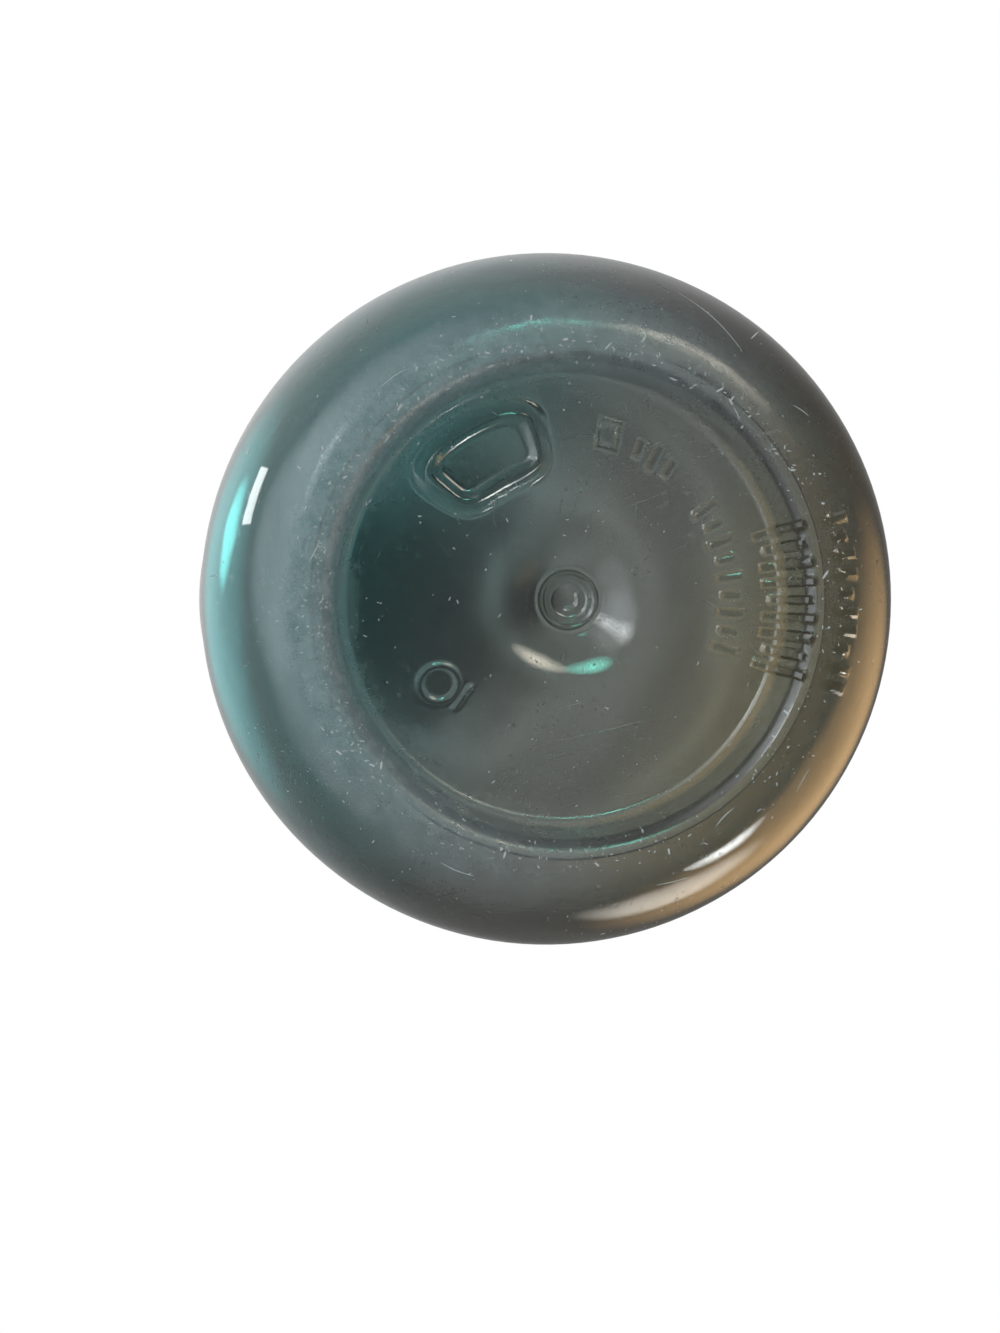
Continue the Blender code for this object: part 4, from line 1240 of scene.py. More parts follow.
    def base_ring(self, skin: RingMesh, angles: Array, radius: Values, z: Array) -> None:
        """Adds a ring of the base, whose middle lies a little off the axis, towards +X."""
        drift = self.drift * (1 - ease(self.bowl_r, self.disc_r, radius))
        skin.free_ring(angles, radius * np.cos(angles) + drift, radius * np.sin(angles), z)

    def base_columns(self, radius: float) -> Array:
        """Returns the base's columns at a radius, fewer towards the middle."""
        return even_columns(next((count for limit, count in self.fewer if radius < limit), self.fine))

    def underside(self, skin: RingMesh) -> None:
        """Adds the base's outside, from its middle to the standing ring."""
        skin.pole(float(self.shaped_z(0.0, np.zeros(1))[0]), self.drift)
        radii = stations(0, self.pip_zone, round(2 * self.pip_zone / self.base_step))[1:]
        run = self.disc_r - self.pip_zone
        radii += stations(self.pip_zone, self.disc_r, round(run / self.base_step))[1:-1]
        leans = [0.0] * len(radii) + [*self.leans]
        for radius, lean in zip([*radii, *self.recess[0]], leans):
            angles = self.base_columns(radius)
            out = self.bars.relief(radius, angles)
            z = np.maximum(self.shaped_z(radius, angles) - out * cos(lean), 0.0)
            self.base_ring(skin, angles, radius - out * sin(lean), z)
        skin.ring(even_columns(self.fine), self.ring_r, 0.0)

    def heel_outline(self) -> Points:
        """Returns the heel's outside, from the standing ring up to the side wall."""
        run = self.datum.body_radius - self.ring_r
        turns = stations(0, self.heel_turn, 20)[1:] + stations(self.heel_turn, pi / 2, 24)[1:]
        return [(self.ring_r + run * sin(t), self.heel_h * (1 - cos(t))) for t in turns]

    def worn_skin(self, lift: float) -> Piece:
        """Makes a thin skin over the recess wall, the ring and the heel, clear of them by a lift, which
        carries the worn haze and its painted sheen.
        """
        outline = [*zip(*self.recess[:2]), (self.ring_r, 0.0), *self.heel_outline()]
        profile = np.array(outline)
        along = np.gradient(profile, axis=0)
        along /= np.linalg.norm(along, axis=1)[:, None]
        profile += lift * np.stack([along[:, 1], -along[:, 0]], 1)
        skin = RingMesh()
        for radius, z in profile:
            skin.ring(even_columns(self.coarse), radius, z)
        return skin.build("worn_haze")

    def outside(self, skin: RingMesh) -> None:
        """Adds the heel, the side wall, the waist and the shoulder."""
        plain, marked = even_columns(self.coarse), even_columns(self.fine)
        for radius, z in self.heel_outline():
            steep = radius > self.bars.end_r
            columns = plain if steep else marked
            lean = asin(min((radius - self.ring_r) / (self.datum.body_radius - self.ring_r), 1.0))
            out = 0.0 if steep else self.bars.relief(radius, columns)
            low = np.maximum(z - out * cos(lean), 0.0)
            skin.ring(columns, radius + out * sin(lean), low)
        for z in stations(self.heel_h, self.lower_low_z, 14)[1:] + self.upper_heights(self.lower_low_z):
            skin.ring(plain, self.side_radius(z), z)

    def upper_heights(self, low: float) -> list[float]:
        """Returns the heights of the rings from a height on the lower wall to the shoulder's top."""
        heights = []
        for high, count in (
            (self.lower_top_z, 8),
            (self.grip_low_z, 14),
            (self.grip_high_z, 12),
            (self.upper_low_z, 14),
            (self.shoulder_z, 6),
        ):
            heights += stations(low, high, count)[1:]
            low = high
        turns = stations(0, pi / 2, 24)[1:]
        return heights + [self.shoulder_z + self.shoulder_h * sin(t) for t in turns]

    def neck(self, skin: RingMesh) -> None:
        """Adds the transfer bead, the threaded neck, the lip and the bore."""
        plain, lip_z = even_columns(self.coarse), self.datum.lip_z
        bead_low = self.neck_z + self.bead_foot
        bead_high = bead_low + self.bead_h
        outline = rounded(
            [
                (self.neck_r, self.neck_z),
                (self.neck_r, bead_low, self.fillet),
                (self.bead_r, bead_low, self.fillet),
                (self.bead_r, bead_high, self.bead_round),
                (self.neck_r, bead_high, self.lip_round),
                (self.neck_r, lip_z, self.lip_round),
                (self.bore_r, lip_z, self.lip_round),
                (self.bore_r, self.neck_z - self.lip_round),
            ],
            closed=False,
        )[1:]
        for radius, z in split_long(outline, self.neck_step, bead_high, lip_z)[:-1]:
            threaded = radius > self.neck_r - self.lip_round / 2 and z > bead_high
            skin.ring(plain, radius + self.thread.rise(z, plain) if threaded else radius, z)

    def inside(self, skin: RingMesh) -> None:
        """Adds the inner wall from the bore down to the middle of the base."""
        plain = even_columns(self.coarse)
        for z in reversed(self.upper_heights(self.heel_h)):
            radius = self.side_radius(z) - self.wall
            if radius > self.bore_r:
                wave = self.wave(radius * plain, np.full(len(plain), z)) * np.sin(plain / 2) ** 2
                skin.ring(plain, radius + self.inside_wave * self.side_wave_share * wave, z)
        run, rise = self.datum.body_radius - self.ring_r - self.wall, self.heel_h - self.wall
        to_left = 0.5 - 0.5 * np.cos(plain - self.thick_side)
        thick = self.heel_extra + (self.heel_extra_left - self.heel_extra) * to_left
        for t in reversed(stations(0, pi / 2, 18)):
            extra = thick * sin(2 * t) ** self.heel_swell
            radius = self.ring_r + (run - extra) * sin(t)
            skin.ring(plain, radius, self.heel_h - (rise - extra) * cos(t))
        disc = stations(0.0, self.recess[2, 0], 56)[1:-1]
        for radius in [*reversed(self.recess[2]), *reversed(disc)]:
            wave = self.wave(radius * np.cos(plain), radius * np.sin(plain))
            fade = 1 - ease(self.disc_r - self.wave_fade, self.disc_r, radius)
            z = self.base_z(radius, plain, inside=True) + self.inside_wave * fade * wave
            self.base_ring(skin, plain, radius, z)
        skin.pole(float(self.base_z(0.0, np.zeros(1), inside=True)[0]), self.drift)

    def build(self, finishes: Finishes) -> Piece:
        """Builds, dresses and returns the body."""
        skin = RingMesh()
        self.underside(skin)
        self.outside(skin)
        self.neck(skin)
        outer = skin.size
        self.inside(skin)
        body = skin.build("clear_body")
        values = (np.arange(skin.size) >= outer).astype(np.float32)
        body.data.attributes.new(INNER_SKIN, "FLOAT", "POINT").data.foreach_set("value", values)
        finishes.dress(body, Slot.CLEAR_TEAL, "bottle", "bottle_shell")
        return body


@dataclass
class Wear:
    """Pale flecks and scratches on the underside, most of them round the standing ring.

    The sizes of flecks are the least half width and how much a random draw adds to it.
    """

    ring_r: float = 0.0293
    ring_spread: float = 0.0017
    far_r: float = 0.0405
    far_every: int = 4
    clear_side: float = radians(150)
    least_worn: float = 0.35
    fine: int = 1700
    coarse: int = 170
    fine_size: Span = (0.000035, 0.00004)
    coarse_size: Span = (0.00008, 0.00006)
    steepest: float = -0.15
    stretch: float = 3.5
    sides: int = 6
    lift: float = 0.000012
    below: float = 0.01
    seed: int = 11
    scratch_half_w: float = 0.00005
    scratch_bend: float = 0.05
    scratch_steps: int = 24
    scratches: tuple[tuple[float, float, float, float], ...] = (
        (0.0134, -0.0360, 0.0201, -0.0291),
        (0.0100, -0.0306, 0.0118, -0.0292),
        (0.0188, -0.0222, 0.0196, -0.0206),
        (0.0262, -0.0226, 0.0282, -0.0214),
        (0.0218, -0.0305, 0.0236, -0.0318),
        (-0.0220, -0.0240, -0.0190, -0.0262),
        (-0.0302, -0.0040, -0.0288, -0.0068),
        (0.0102, 0.0330, 0.0140, 0.0322),
        (-0.0150, 0.0300, -0.0112, 0.0316),
        (0.0190, 0.0240, 0.0168, 0.0262),
        (0.0282, 0.0196, 0.0268, 0.0222),
    )

    def under(self, body: Piece, x: float, y: float) -> tuple[Vector, Vector] | None:
        """Returns the place on the underside straight above a point, and its normal."""
        hit, place, normal, _ = body.ray_cast(Vector((x, y, -self.below)), Vector((0, 0, 1)))
        return (place + self.lift * normal, normal) if hit else None

    def add_fleck(
        self, bm: bmesh.types.BMesh, body: Piece, x: float, y: float, half: float, draw: Array
    ) -> None:
        """Adds a small many-sided fleck, drawn out to a stroke in a random direction."""
        found = self.under(body, x, y)
        if not found or found[1].z > self.steepest:
            return
        place, normal = found
        along = normal.cross(Vector((cos(draw[0] * TURN), sin(draw[0] * TURN), 0))).normalized()
        across = normal.cross(along)
        stretch = 1 + self.stretch * draw[1] ** 4
        corners = []
        for k in range(self.sides):
            size = half * (0.75 + 0.5 * draw[2 + k])
            turn = TURN * k / self.sides
            corners.append(place + along * size * stretch * cos(turn) + across * size * sin(turn))
        bm.faces.new([bm.verts.new(corner) for corner in corners])

    def add_scratch(self, bm: bmesh.types.BMesh, body: Piece, ends: Sequence[float], bend: float) -> None:
        """Adds a thin scratch from one place to another, tapered at both ends."""
        x0, y0, x1, y1 = ends
        length = hypot(x1 - x0, y1 - y0)
        side = Vector(((y0 - y1) / length, (x1 - x0) / length, 0))
        last = None
        for t in stations(0, 1, self.scratch_steps):
            sway = side * bend * length * sin(pi * t)
            found = self.under(body, x0 + (x1 - x0) * t + sway.x, y0 + (y1 - y0) * t + sway.y)
            if not found:
                last = None
                continue
            half = self.scratch_half_w * (0.25 + sin(pi * t))
            pair = [bm.verts.new(found[0] + side * half), bm.verts.new(found[0] - side * half)]
            if last:
                bm.faces.new((*last, pair[1], pair[0]))
            last = pair

    def build(self, finishes: Finishes, clear_body: ClearBody, body: Piece) -> None:
        """Builds and dresses the haze with its painted sheen, the flecks and the scratches."""
        haze = clear_body.worn_skin(self.lift / 2)
        finishes.dress(haze, Slot.CLEAR_TEAL, "bottle", None, finishes.film)
        bpy.context.view_layer.update()
        rng = np.random.default_rng(self.seed)
        bm = bmesh.new()
        for i in range(self.fine + self.coarse):
            draw = rng.random(11)
            angle = TURN * draw[8]
            radius = self.ring_r + self.ring_spread * rng.standard_normal()
            if i % self.far_every == 0:
                radius = self.far_r * sqrt(draw[9])
            facing = 0.5 + 0.5 * cos(angle + self.clear_side)
            if draw[10] <= self.least_worn + (1 - self.least_worn) * facing:
                least, more = self.fine_size if i < self.fine else self.coarse_size
                place = radius * cos(angle), radius * sin(angle)
                self.add_fleck(bm, body, *place, least + more * draw[1], draw)
        for ends in self.scratches:
            self.add_scratch(bm, body, ends, self.scratch_bend * rng.standard_normal())
        flecks = bpy.data.meshes.new("pale_flecks")
        bm.to_mesh(flecks)
        bm.free()
        finishes.dress(add_mesh("pale_flecks", flecks), Slot.CLEAR_TEAL, "bottle", None, finishes.flecks)


@dataclass
class ScrewCollar:
    """The screw-on closure: threaded skirt, deck, spout, hinge ears, latch housing and loop pads."""

    datum: Datum
    thread: Thread
    bore_r: float = 0.02495
    wall: float = 0.0030
    skirt_z: float = 0.2162
    skirt_edge: float = 0.0007
    lobes: int = 24
    lobe_h: float = 0.0006
    lobes_low: float = 0.0025
    lobes_band: float = 0.0100
    deck_edge: float = 0.0010
    spout_r: float = 0.0115
    spout_bore_r: float = 0.0086
    spout_h: float = 0.0115
    spout_edge: float = 0.0006
    spout_lip_h: float = 0.0014
    lip_round_in: float = 0.0012
    lip_round_out: float = 0.0010
    lip_round_under: float = 0.0005
    spout_foot: float = 0.0014
    ear_r: float = 0.0033
    ear_in_x: float = 0.0049
    ear_out_x: float = 0.0085
    ear_round: float = 0.0004
    ear_foot: float = 0.0020
    gap_back: float = 0.0004
    gap_under: float = 0.0008
    gap_round: float = 0.0003
    pin_bore_r: float = 0.0016
    pad_r: float = 0.0048
    pad_x: float = 0.02985
    rivet_bore_r: float = 0.0022
    rivet_bore_depth: float = 0.0029
    valve_x: float = 0.0180
    valve_bore_r: float = 0.0015
    fillet: float = 0.0005
    thread_step: float = 0.0004
    columns: int = 288

    @property
    def radius(self) -> float:
        """Outside radius of the skirt, between the lobes."""
        return self.bore_r + self.wall

    @property
    def spout_top_z(self) -> float:
        """Height of the spout's lip."""
        return self.datum.deck_z + self.spout_h

    def push(self, radius: float, z: float, angles: Array) -> tuple[Values, float]:
        """Pushes the skirt's lobes out and the thread into the bore."""
        if radius > self.radius - self.skirt_edge / 2:
            middle = self.skirt_z + self.lobes_low + self.lobes_band / 2
            band = within(self.lobes_band / 2, 2 * self.lobe_h, z - middle)
            return radius + self.lobe_h * band * np.abs(np.sin(self.lobes / 2 * angles)), z
        if abs(radius - self.bore_r) < MERGE:
            return radius - self.thread.rise(z, angles), z
        return radius, z

    def skin(self) -> Piece:
        """Makes the turned part: spout, deck and skirt."""
        under_z, deck_z, top_z = self.datum.deck_under_z, self.datum.deck_z, self.spout_top_z
        lip_r, lip_z = self.spout_r + self.spout_edge, top_z - self.spout_lip_h
        corners = [
            (self.spout_bore_r, under_z, self.fillet),
            (self.spout_bore_r, top_z, self.lip_round_in),
            (lip_r, top_z, self.lip_round_out),
            (lip_r, lip_z, self.lip_round_under),
            (self.spout_r, lip_z - self.spout_edge, self.spout_edge),
            (self.spout_r, deck_z, self.spout_foot),
            (self.radius, deck_z, self.deck_edge),
            (self.radius, self.skirt_z, self.skirt_edge),
            (self.bore_r, self.skirt_z, self.skirt_edge),
            (self.bore_r, under_z, self.fillet / 2),
        ]
        outline = split_long(rounded(corners), self.thread_step, self.skirt_z, under_z)
        outline = split_long(outline, self.thread_step, self.skirt_z, deck_z)
        return turned("collar_with_spout", outline, self.columns, self.push)

    def add_hinge(self, collar: Piece) -> None:
        """Adds the block behind the collar, parts it into two ears and bores them for the pin."""
        y, z, deck_z = self.datum.hinge_y, self.datum.hinge_z, self.datum.deck_z
        foot_z = self.skirt_z + self.lobes_low + self.lobes_band + 2 * self.lobe_h
        turns = stations(0, pi, 20)
        top = [(y + self.ear_r * cos(t), z + self.ear_r * sin(t)) for t in turns]
        foot = [(y - self.ear_r, deck_z - self.ear_foot), (self.radius - self.wall / 2, foot_z)]
        outline = top + foot + [(self.radius, foot_z)]
        block = prism("hinge_block", outline, -self.ear_out_x, self.ear_out_x, self.ear_round)
        combine(collar, block, Cut.UNION)
        low = (-self.ear_in_x, y - self.ear_r - self.gap_back, z - self.ear_r - self.gap_under)
        high = (self.ear_in_x, y + PAST, z + PAST)
        combine(collar, rounded_block("ear_gap", low, high, self.gap_round), Cut.DIFFERENCE)
        reach = self.ear_out_x + PAST / 2
        bore = lay_along_x(round_bar("ear_bore", self.pin_bore_r, -reach, reach), (0, y, z))
        combine(collar, bore, Cut.DIFFERENCE)

    def add_pads(self, collar: Piece) -> None:
        """Adds the round pads that the loop turns on, with a bore for each rivet."""
        root = self.radius - self.wall / 2
        corners = [(0, root), (self.pad_r, root), (self.pad_r, self.pad_x, self.fillet), (0, self.pad_x)]
        for name, flip in (("right_pad", False), ("left_pad", True)):
            pad = turned(name, rounded(corners, closed=False), 64)
            combine(collar, lay_along_x(pad, (0, 0, self.datum.pivot_z), flip), Cut.UNION)
            floor = self.pad_x - self.rivet_bore_depth
            bore = round_bar(name + "_bore", self.rivet_bore_r, floor, self.pad_x + PAST)
            combine(collar, lay_along_x(bore, (0, 0, self.datum.pivot_z), flip), Cut.DIFFERENCE)

    def add_valve_bore(self, collar: Piece) -> None:
        """Bores the deck for the vent valve's stem."""
        low, high = self.datum.deck_under_z - PAST, self.datum.deck_z + PAST
        bore = round_bar("valve_bore", self.valve_bore_r, low, high)
        bore.data.transform(Matrix.Translation((self.valve_x, 0, 0)))
        combine(collar, bore, Cut.DIFFERENCE)

    def build(self, finishes: Finishes, latch: "Latch") -> None:
        """Builds and dresses the collar, with the latch's housing."""
        collar = self.skin()
        self.add_hinge(collar)
        latch.add_house(collar)
        self.add_pads(collar)
        self.add_valve_bore(collar)
        finishes.dress(collar, Slot.SLATE, "closure", "screw_collar")


@dataclass
class Latch:
    """The housing at the front of the collar, with its push button and spring."""

    datum: Datum
    house_half_w: float = 0.0080
    front_y: float = -0.0269
    back_y: float = -0.0126
    house_h: float = 0.0090
    house_foot: float = 0.0020
    house_round: float = 0.0007
    inner_round: float = 0.0003
    wall: float = 0.0017
    roof: float = 0.0013
    fit: float = 0.0003
    proud: float = 0.0020
    face_t: float = 0.0025
    face_round: float = 0.0006
    window_round: float = 0.0004
    groove_apart: float = 0.00115
    groove_half_w: float = 0.00028
    groove_depth: float = 0.00035
    groove_round: float = 0.0002
    rail_w: float = 0.0016
    bar_t: float = 0.0012
    bar_y: float = -0.0198
    tongue_front_y: float = -0.0240
    tongue_back_y: float = -0.0222
    tongue_half_w: float = 0.0034
    spring_r: float = 0.0018
    wire_r: float = 0.0002
    wire_gap: float = 0.0001
    curls: float = 3.5
    spring_steps: int = 140
    kept_length: float = 0.605

    @property
    def roof_z(self) -> float:
        """Height of the housing's top."""
        return self.datum.deck_z + self.house_h

    @property
    def low_z(self) -> float:
        """Height of the cavity's floor."""
        return self.datum.deck_z + self.wall

    @property
    def high_z(self) -> float:
        """Height of the cavity's ceiling."""
        return self.roof_z - self.roof

    def add_house(self, collar: Piece) -> None:
        """Adds the housing to the collar, open at the front and slotted for the cap's tongue."""
        low = (-self.house_half_w, self.front_y, self.datum.deck_z - self.house_foot)
        high = (self.house_half_w, self.back_y, self.roof_z)
        combine(collar, rounded_block("latch_house", low, high, self.house_round), Cut.UNION)
        half_w = self.house_half_w - self.wall
        low = (-half_w, self.front_y - PAST, self.low_z)
        high = (half_w, self.back_y - self.wall, self.high_z)
        combine(collar, rounded_block("latch_cavity", low, high, self.inner_round), Cut.DIFFERENCE)
        slot_half_w = self.tongue_half_w + 2 * self.fit
        low = (-slot_half_w, self.tongue_front_y - 2 * self.fit, (self.low_z + self.high_z) / 2)
        high = (slot_half_w, self.tongue_back_y + 4 * self.fit, self.roof_z + PAST)
        combine(collar, rounded_block("latch_slot", low, high, 0), Cut.DIFFERENCE)

    def build_button(self, finishes: Finishes) -> None:
        """Builds the button: a ribbed face, and two rails and a bar round the cap's tongue."""
        half_w = self.house_half_w - self.wall - self.fit
        low_z, high_z = self.low_z + self.fit, self.high_z - self.fit
        face_y = self.front_y - self.proud
        high = (half_w, self.bar_y + self.bar_t, high_z)
        button = rounded_block("push_button", (-half_w, face_y, low_z), high, self.face_round)
        hole_w = half_w - self.rail_w
        low = (-hole_w, face_y + self.face_t, low_z - PAST)
        high = (hole_w, self.bar_y, high_z + PAST)
        combine(button, rounded_block("button_window", low, high, self.window_round), Cut.DIFFERENCE)
        for i in (-1, 0, 1):
            z = (low_z + high_z) / 2 + self.groove_apart * i
            low = (-hole_w, face_y - PAST / 10, z - self.groove_half_w)
            high = (hole_w, face_y + self.groove_depth, z + self.groove_half_w)
            combine(button, rounded_block("thumb_groove", low, high, self.groove_round), Cut.DIFFERENCE)
        finishes.dress(button, Slot.TEAL, "latch", "latch_button")

    def build_spring(self, finishes: Finishes) -> None:
        """Builds the coil spring between the button's bar and the back wall of the housing."""
        start_y = self.bar_y + self.bar_t + self.datum.seat + self.wire_r
        end_y = self.back_y - self.wall - self.datum.seat - self.wire_r
        middle_z, steps = (self.low_z + self.high_z) / 2, self.spring_steps
        ring = [(self.wire_r * cos(t), self.wire_r * sin(t)) for t in even_columns(10)]
        centres, firsts, seconds = [], [], []
        for i in range(steps + 1):
            turn = TURN * self.curls * i / steps
            outwards = Vector((cos(turn), 0, sin(turn)))
            run = (end_y - start_y) / (TURN * self.curls * self.spring_r)
            along = Vector((-sin(turn), run, cos(turn))).normalized()
            y = start_y + (end_y - start_y) * i / steps
            centres.append(outwards * self.spring_r + Vector((0, y, middle_z)))
            firsts.append(outwards)
            seconds.append(along.cross(outwards))
        spring = swept("button_spring", centres, firsts, seconds, [ring] * (steps + 1))
        finishes.dress(spring, Slot.STEEL, "closure", "latch_spring")
        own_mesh(spring)


@dataclass
class FlipCap:
    """The domed cap over the spout, with its socket, its knuckle and its tongue."""

    datum: Datum
    radius: float = 0.0265
    wall: float = 0.0020
    rim_gap: float = 0.0004
    side_h: float = 0.0095
    dome_h: float = 0.0098
    flat: float = 3.2
    edge: float = 2.2
    socket_r: float = 0.0073
    socket_wall: float = 0.0020
    socket_z: float = 0.2526
    socket_clear: float = 0.0002
    knuckle_half_w: float = 0.0045
    side_gap: float = 0.0004
    groove: float = 0.00022
    groove_heights: tuple[float, ...] = (0.0014, 0.0016, 0.0020, 0.0022)
    round_r: float = 0.0004

    def dome_z(self, radius: float, wall: float = 0.0) -> float:
        """Returns the height of the dome at a radius, outside or, with a wall, inside."""
        share = min(radius / (self.radius - wall), 1.0)
        rise = (self.dome_h - wall) * (1 - share**self.flat) ** (1 / self.edge)
        return self.datum.deck_z + self.rim_gap + self.side_h + rise

    def skin(self) -> Piece:
        """Makes the turned part: the dome, the side and the plug's socket."""
        shares = [sin(t) ** (2 / self.flat) for t in stations(0, pi / 2, 26)]
        inner_r, rim_z = self.radius - self.wall, self.datum.deck_z + self.rim_gap
        outside = [(self.radius * s, self.dome_z(self.radius * s)) for s in shares]
        inside = [(inner_r * s, self.dome_z(inner_r * s, self.wall)) for s in reversed(shares)]
        inside = [(r, z) for r, z in inside if r > self.socket_r + self.socket_clear]
        ceiling_z = self.dome_z(0, self.wall)
        bore_r = self.socket_r - self.socket_wall
        low, groove_low, groove_high, high = (rim_z + h for h in self.groove_heights)
        corners = outside + [
            (self.radius, high),
            (self.radius - self.groove, groove_high),
            (self.radius - self.groove, groove_low),
            (self.radius, low),
            (self.radius, rim_z, 0.0005),
            (inner_r, rim_z, self.round_r),
        ]
        corners += inside + [
            (self.socket_r, ceiling_z, 0.0006),
            (self.socket_r, self.socket_z, self.round_r),
            (bore_r, self.socket_z, self.round_r),
            (bore_r, ceiling_z),
            (0, ceiling_z),
        ]
        return turned("domed_cap", rounded(corners, closed=False), 192)

    def notch(self, cap: Piece, collar: ScrewCollar, latch: Latch) -> None:
        """Cuts the cap clear of the latch's housing and of the hinge ears."""
        rim_z, half_w = self.datum.deck_z + self.rim_gap, latch.house_half_w + self.rim_gap
        low = (-half_w, -self.radius - PAST, rim_z - PAST)
        high = (half_w, latch.back_y, latch.roof_z + self.rim_gap)
        combine(cap, rounded_block("house_notch", low, high, latch.inner_round), Cut.DIFFERENCE)
        for sign in (-1, 1):
            near, far = sign * self.knuckle_half_w, sign * (collar.ear_out_x + self.side_gap)
            low = (min(near, far), self.datum.hinge_y - collar.ear_r - 2 * self.wall, rim_z - PAST)
            high_z = self.datum.hinge_z + collar.ear_r + self.side_gap
            high = (max(near, far), self.datum.hinge_y + PAST, high_z)
            combine(cap, rounded_block("ear_notch", low, high, 0.0), Cut.DIFFERENCE)

    def add_knuckle(self, cap: Piece, ear_r: float) -> None:
        """Adds the knuckle that the hinge pin goes through."""
        y, z, half_w = self.datum.hinge_y, self.datum.hinge_z, self.knuckle_half_w
        eye_r, root_y = ear_r - self.side_gap / 2, self.radius - self.wall / 2
        turns = stations(radians(100), radians(-100), 24)
        eye = [(y + eye_r * cos(t), z + eye_r * sin(t)) for t in turns]
        arm = [(root_y, z - eye_r + self.wall / 2), (root_y, z + eye_r)]
        combine(cap, prism("knuckle", eye + arm, -half_w, half_w, self.round_r), Cut.UNION)

    def add_tongue(self, cap: Piece, latch: Latch) -> None:
        """Adds the tongue that reaches down into the latch."""
        root_y, roof_z = -self.radius + self.wall / 2, latch.roof_z + 2 * self.datum.seat
        reach_z = self.datum.deck_z + self.rim_gap + self.side_h + self.dome_h / 3
        corners = [
            (root_y, reach_z),
            (root_y, roof_z),
            (latch.tongue_front_y, roof_z),
            (latch.tongue_front_y, latch.low_z + latch.wall, self.round_r),
            (latch.tongue_back_y, latch.low_z + latch.wall, self.round_r),
            (latch.tongue_back_y, reach_z),
        ]
        half_w = latch.tongue_half_w
        combine(cap, prism("tongue", rounded(corners), -half_w, half_w, self.round_r / 2), Cut.UNION)

    def build(self, finishes: Finishes, collar: ScrewCollar, latch: Latch) -> None:
        """Builds and dresses the cap."""
        cap = self.skin()
        self.notch(cap, collar, latch)
        self.add_knuckle(cap, collar.ear_r)
        self.add_tongue(cap, latch)
        reach = 2 * self.knuckle_half_w
        bore = round_bar("knuckle_bore", collar.pin_bore_r, -reach, reach)
        lay_along_x(bore, (0, self.datum.hinge_y, self.datum.hinge_z))
        combine(cap, bore, Cut.DIFFERENCE)
        finishes.dress(cap, Slot.SLATE, "cap", "flip_cap")


@dataclass
class Seals:
    """The silicone pieces: neck gasket, spout plug and vent valve."""

    datum: Datum
    gasket_in_r: float = 0.0206
    gasket_out_r: float = 0.02435
    gasket_t: float = 0.0019
    flange_r: float = 0.0122
    flange_t: float = 0.0020
    boss_h: float = 0.0023
    boss_gap: float = 0.0009
    taper: float = 0.0007
    valve_r: float = 0.0034
    valve_t: float = 0.0010
    valve_edge_t: float = 0.0003
    stem_r: float = 0.0013
    bulb_r: float = 0.0022
    bulb_h: float = 0.0011

    def build_gasket(self, finishes: Finishes) -> None:
        """Builds the ring between the neck's lip and the deck."""
        low = self.datum.lip_z + self.datum.seat
        high, corner = low + self.gasket_t, 0.0003
        corners = [
            (self.gasket_in_r, low, corner),
            (self.gasket_out_r, low, corner),
            (self.gasket_out_r, high, corner),
            (self.gasket_in_r, high, corner),
        ]
        gasket = turned("gasket_ring", rounded(corners), 144)
        finishes.dress(gasket, Slot.SILICONE, "seal", "neck_gasket")

    def build_plug(self, finishes: Finishes, collar: ScrewCollar, cap: FlipCap) -> None:
        """Builds the stub in the cap's socket, the flange over the spout and the tapered boss in it."""
        seat, top = self.datum.seat, cap.dome_z(0, cap.wall)
        stub_r = cap.socket_r - cap.socket_wall - seat
        boss_r = collar.spout_bore_r - self.boss_gap
        low = collar.spout_top_z + seat
        corners = [
            (0, top - seat),
            (stub_r, top - seat, 0.0005),
            (stub_r, low + self.flange_t, 0.0002),
            (self.flange_r, low + self.flange_t, 0.0007),
            (self.flange_r, low, 0.0007),
            (boss_r, low, 0.0003),
            (boss_r - self.taper, low - self.boss_h, 0.0006),
            (0, low - self.boss_h),
        ]
        plug = turned("plug_for_spout", rounded(corners, closed=False), 96)
        finishes.dress(plug, Slot.SILICONE, "cap", "spout_plug")

    def build_valve(self, finishes: Finishes, collar: ScrewCollar) -> None:
        """Builds the umbrella over the deck, with its stem and the bulb that holds it."""
        seat = self.datum.seat
        under, bulb_z = self.datum.deck_z + seat, self.datum.deck_under_z - seat
        rise = self.valve_t - self.valve_edge_t
        dome = [
            (self.valve_r * cos(t), under + self.valve_edge_t + rise * sin(t))
            for t in stations(0, pi / 2, 10)[:-1]
        ]
        corners = [(self.valve_r, under, 0.0001), *dome, (0, under + self.valve_t)]
        corners = [
            (0, bulb_z - self.bulb_h),
            (self.stem_r, bulb_z - self.bulb_h, 0.0003),
            (self.bulb_r, bulb_z, 0.0003),
            (self.stem_r, bulb_z),
            (self.stem_r, under),
            *corners,
        ]
        valve = turned("umbrella_valve", rounded(corners, closed=False), 48)
        valve.data.transform(Matrix.Translation((collar.valve_x, 0, 0)))
        finishes.dress(valve, Slot.SILICONE, "closure", "vent_valve")

    def build(self, finishes: Finishes, collar: ScrewCollar, cap: FlipCap) -> None:
        """Builds and dresses the three silicone pieces."""
        self.build_gasket(finishes)
        self.build_plug(finishes, collar, cap)
        self.build_valve(finishes, collar)


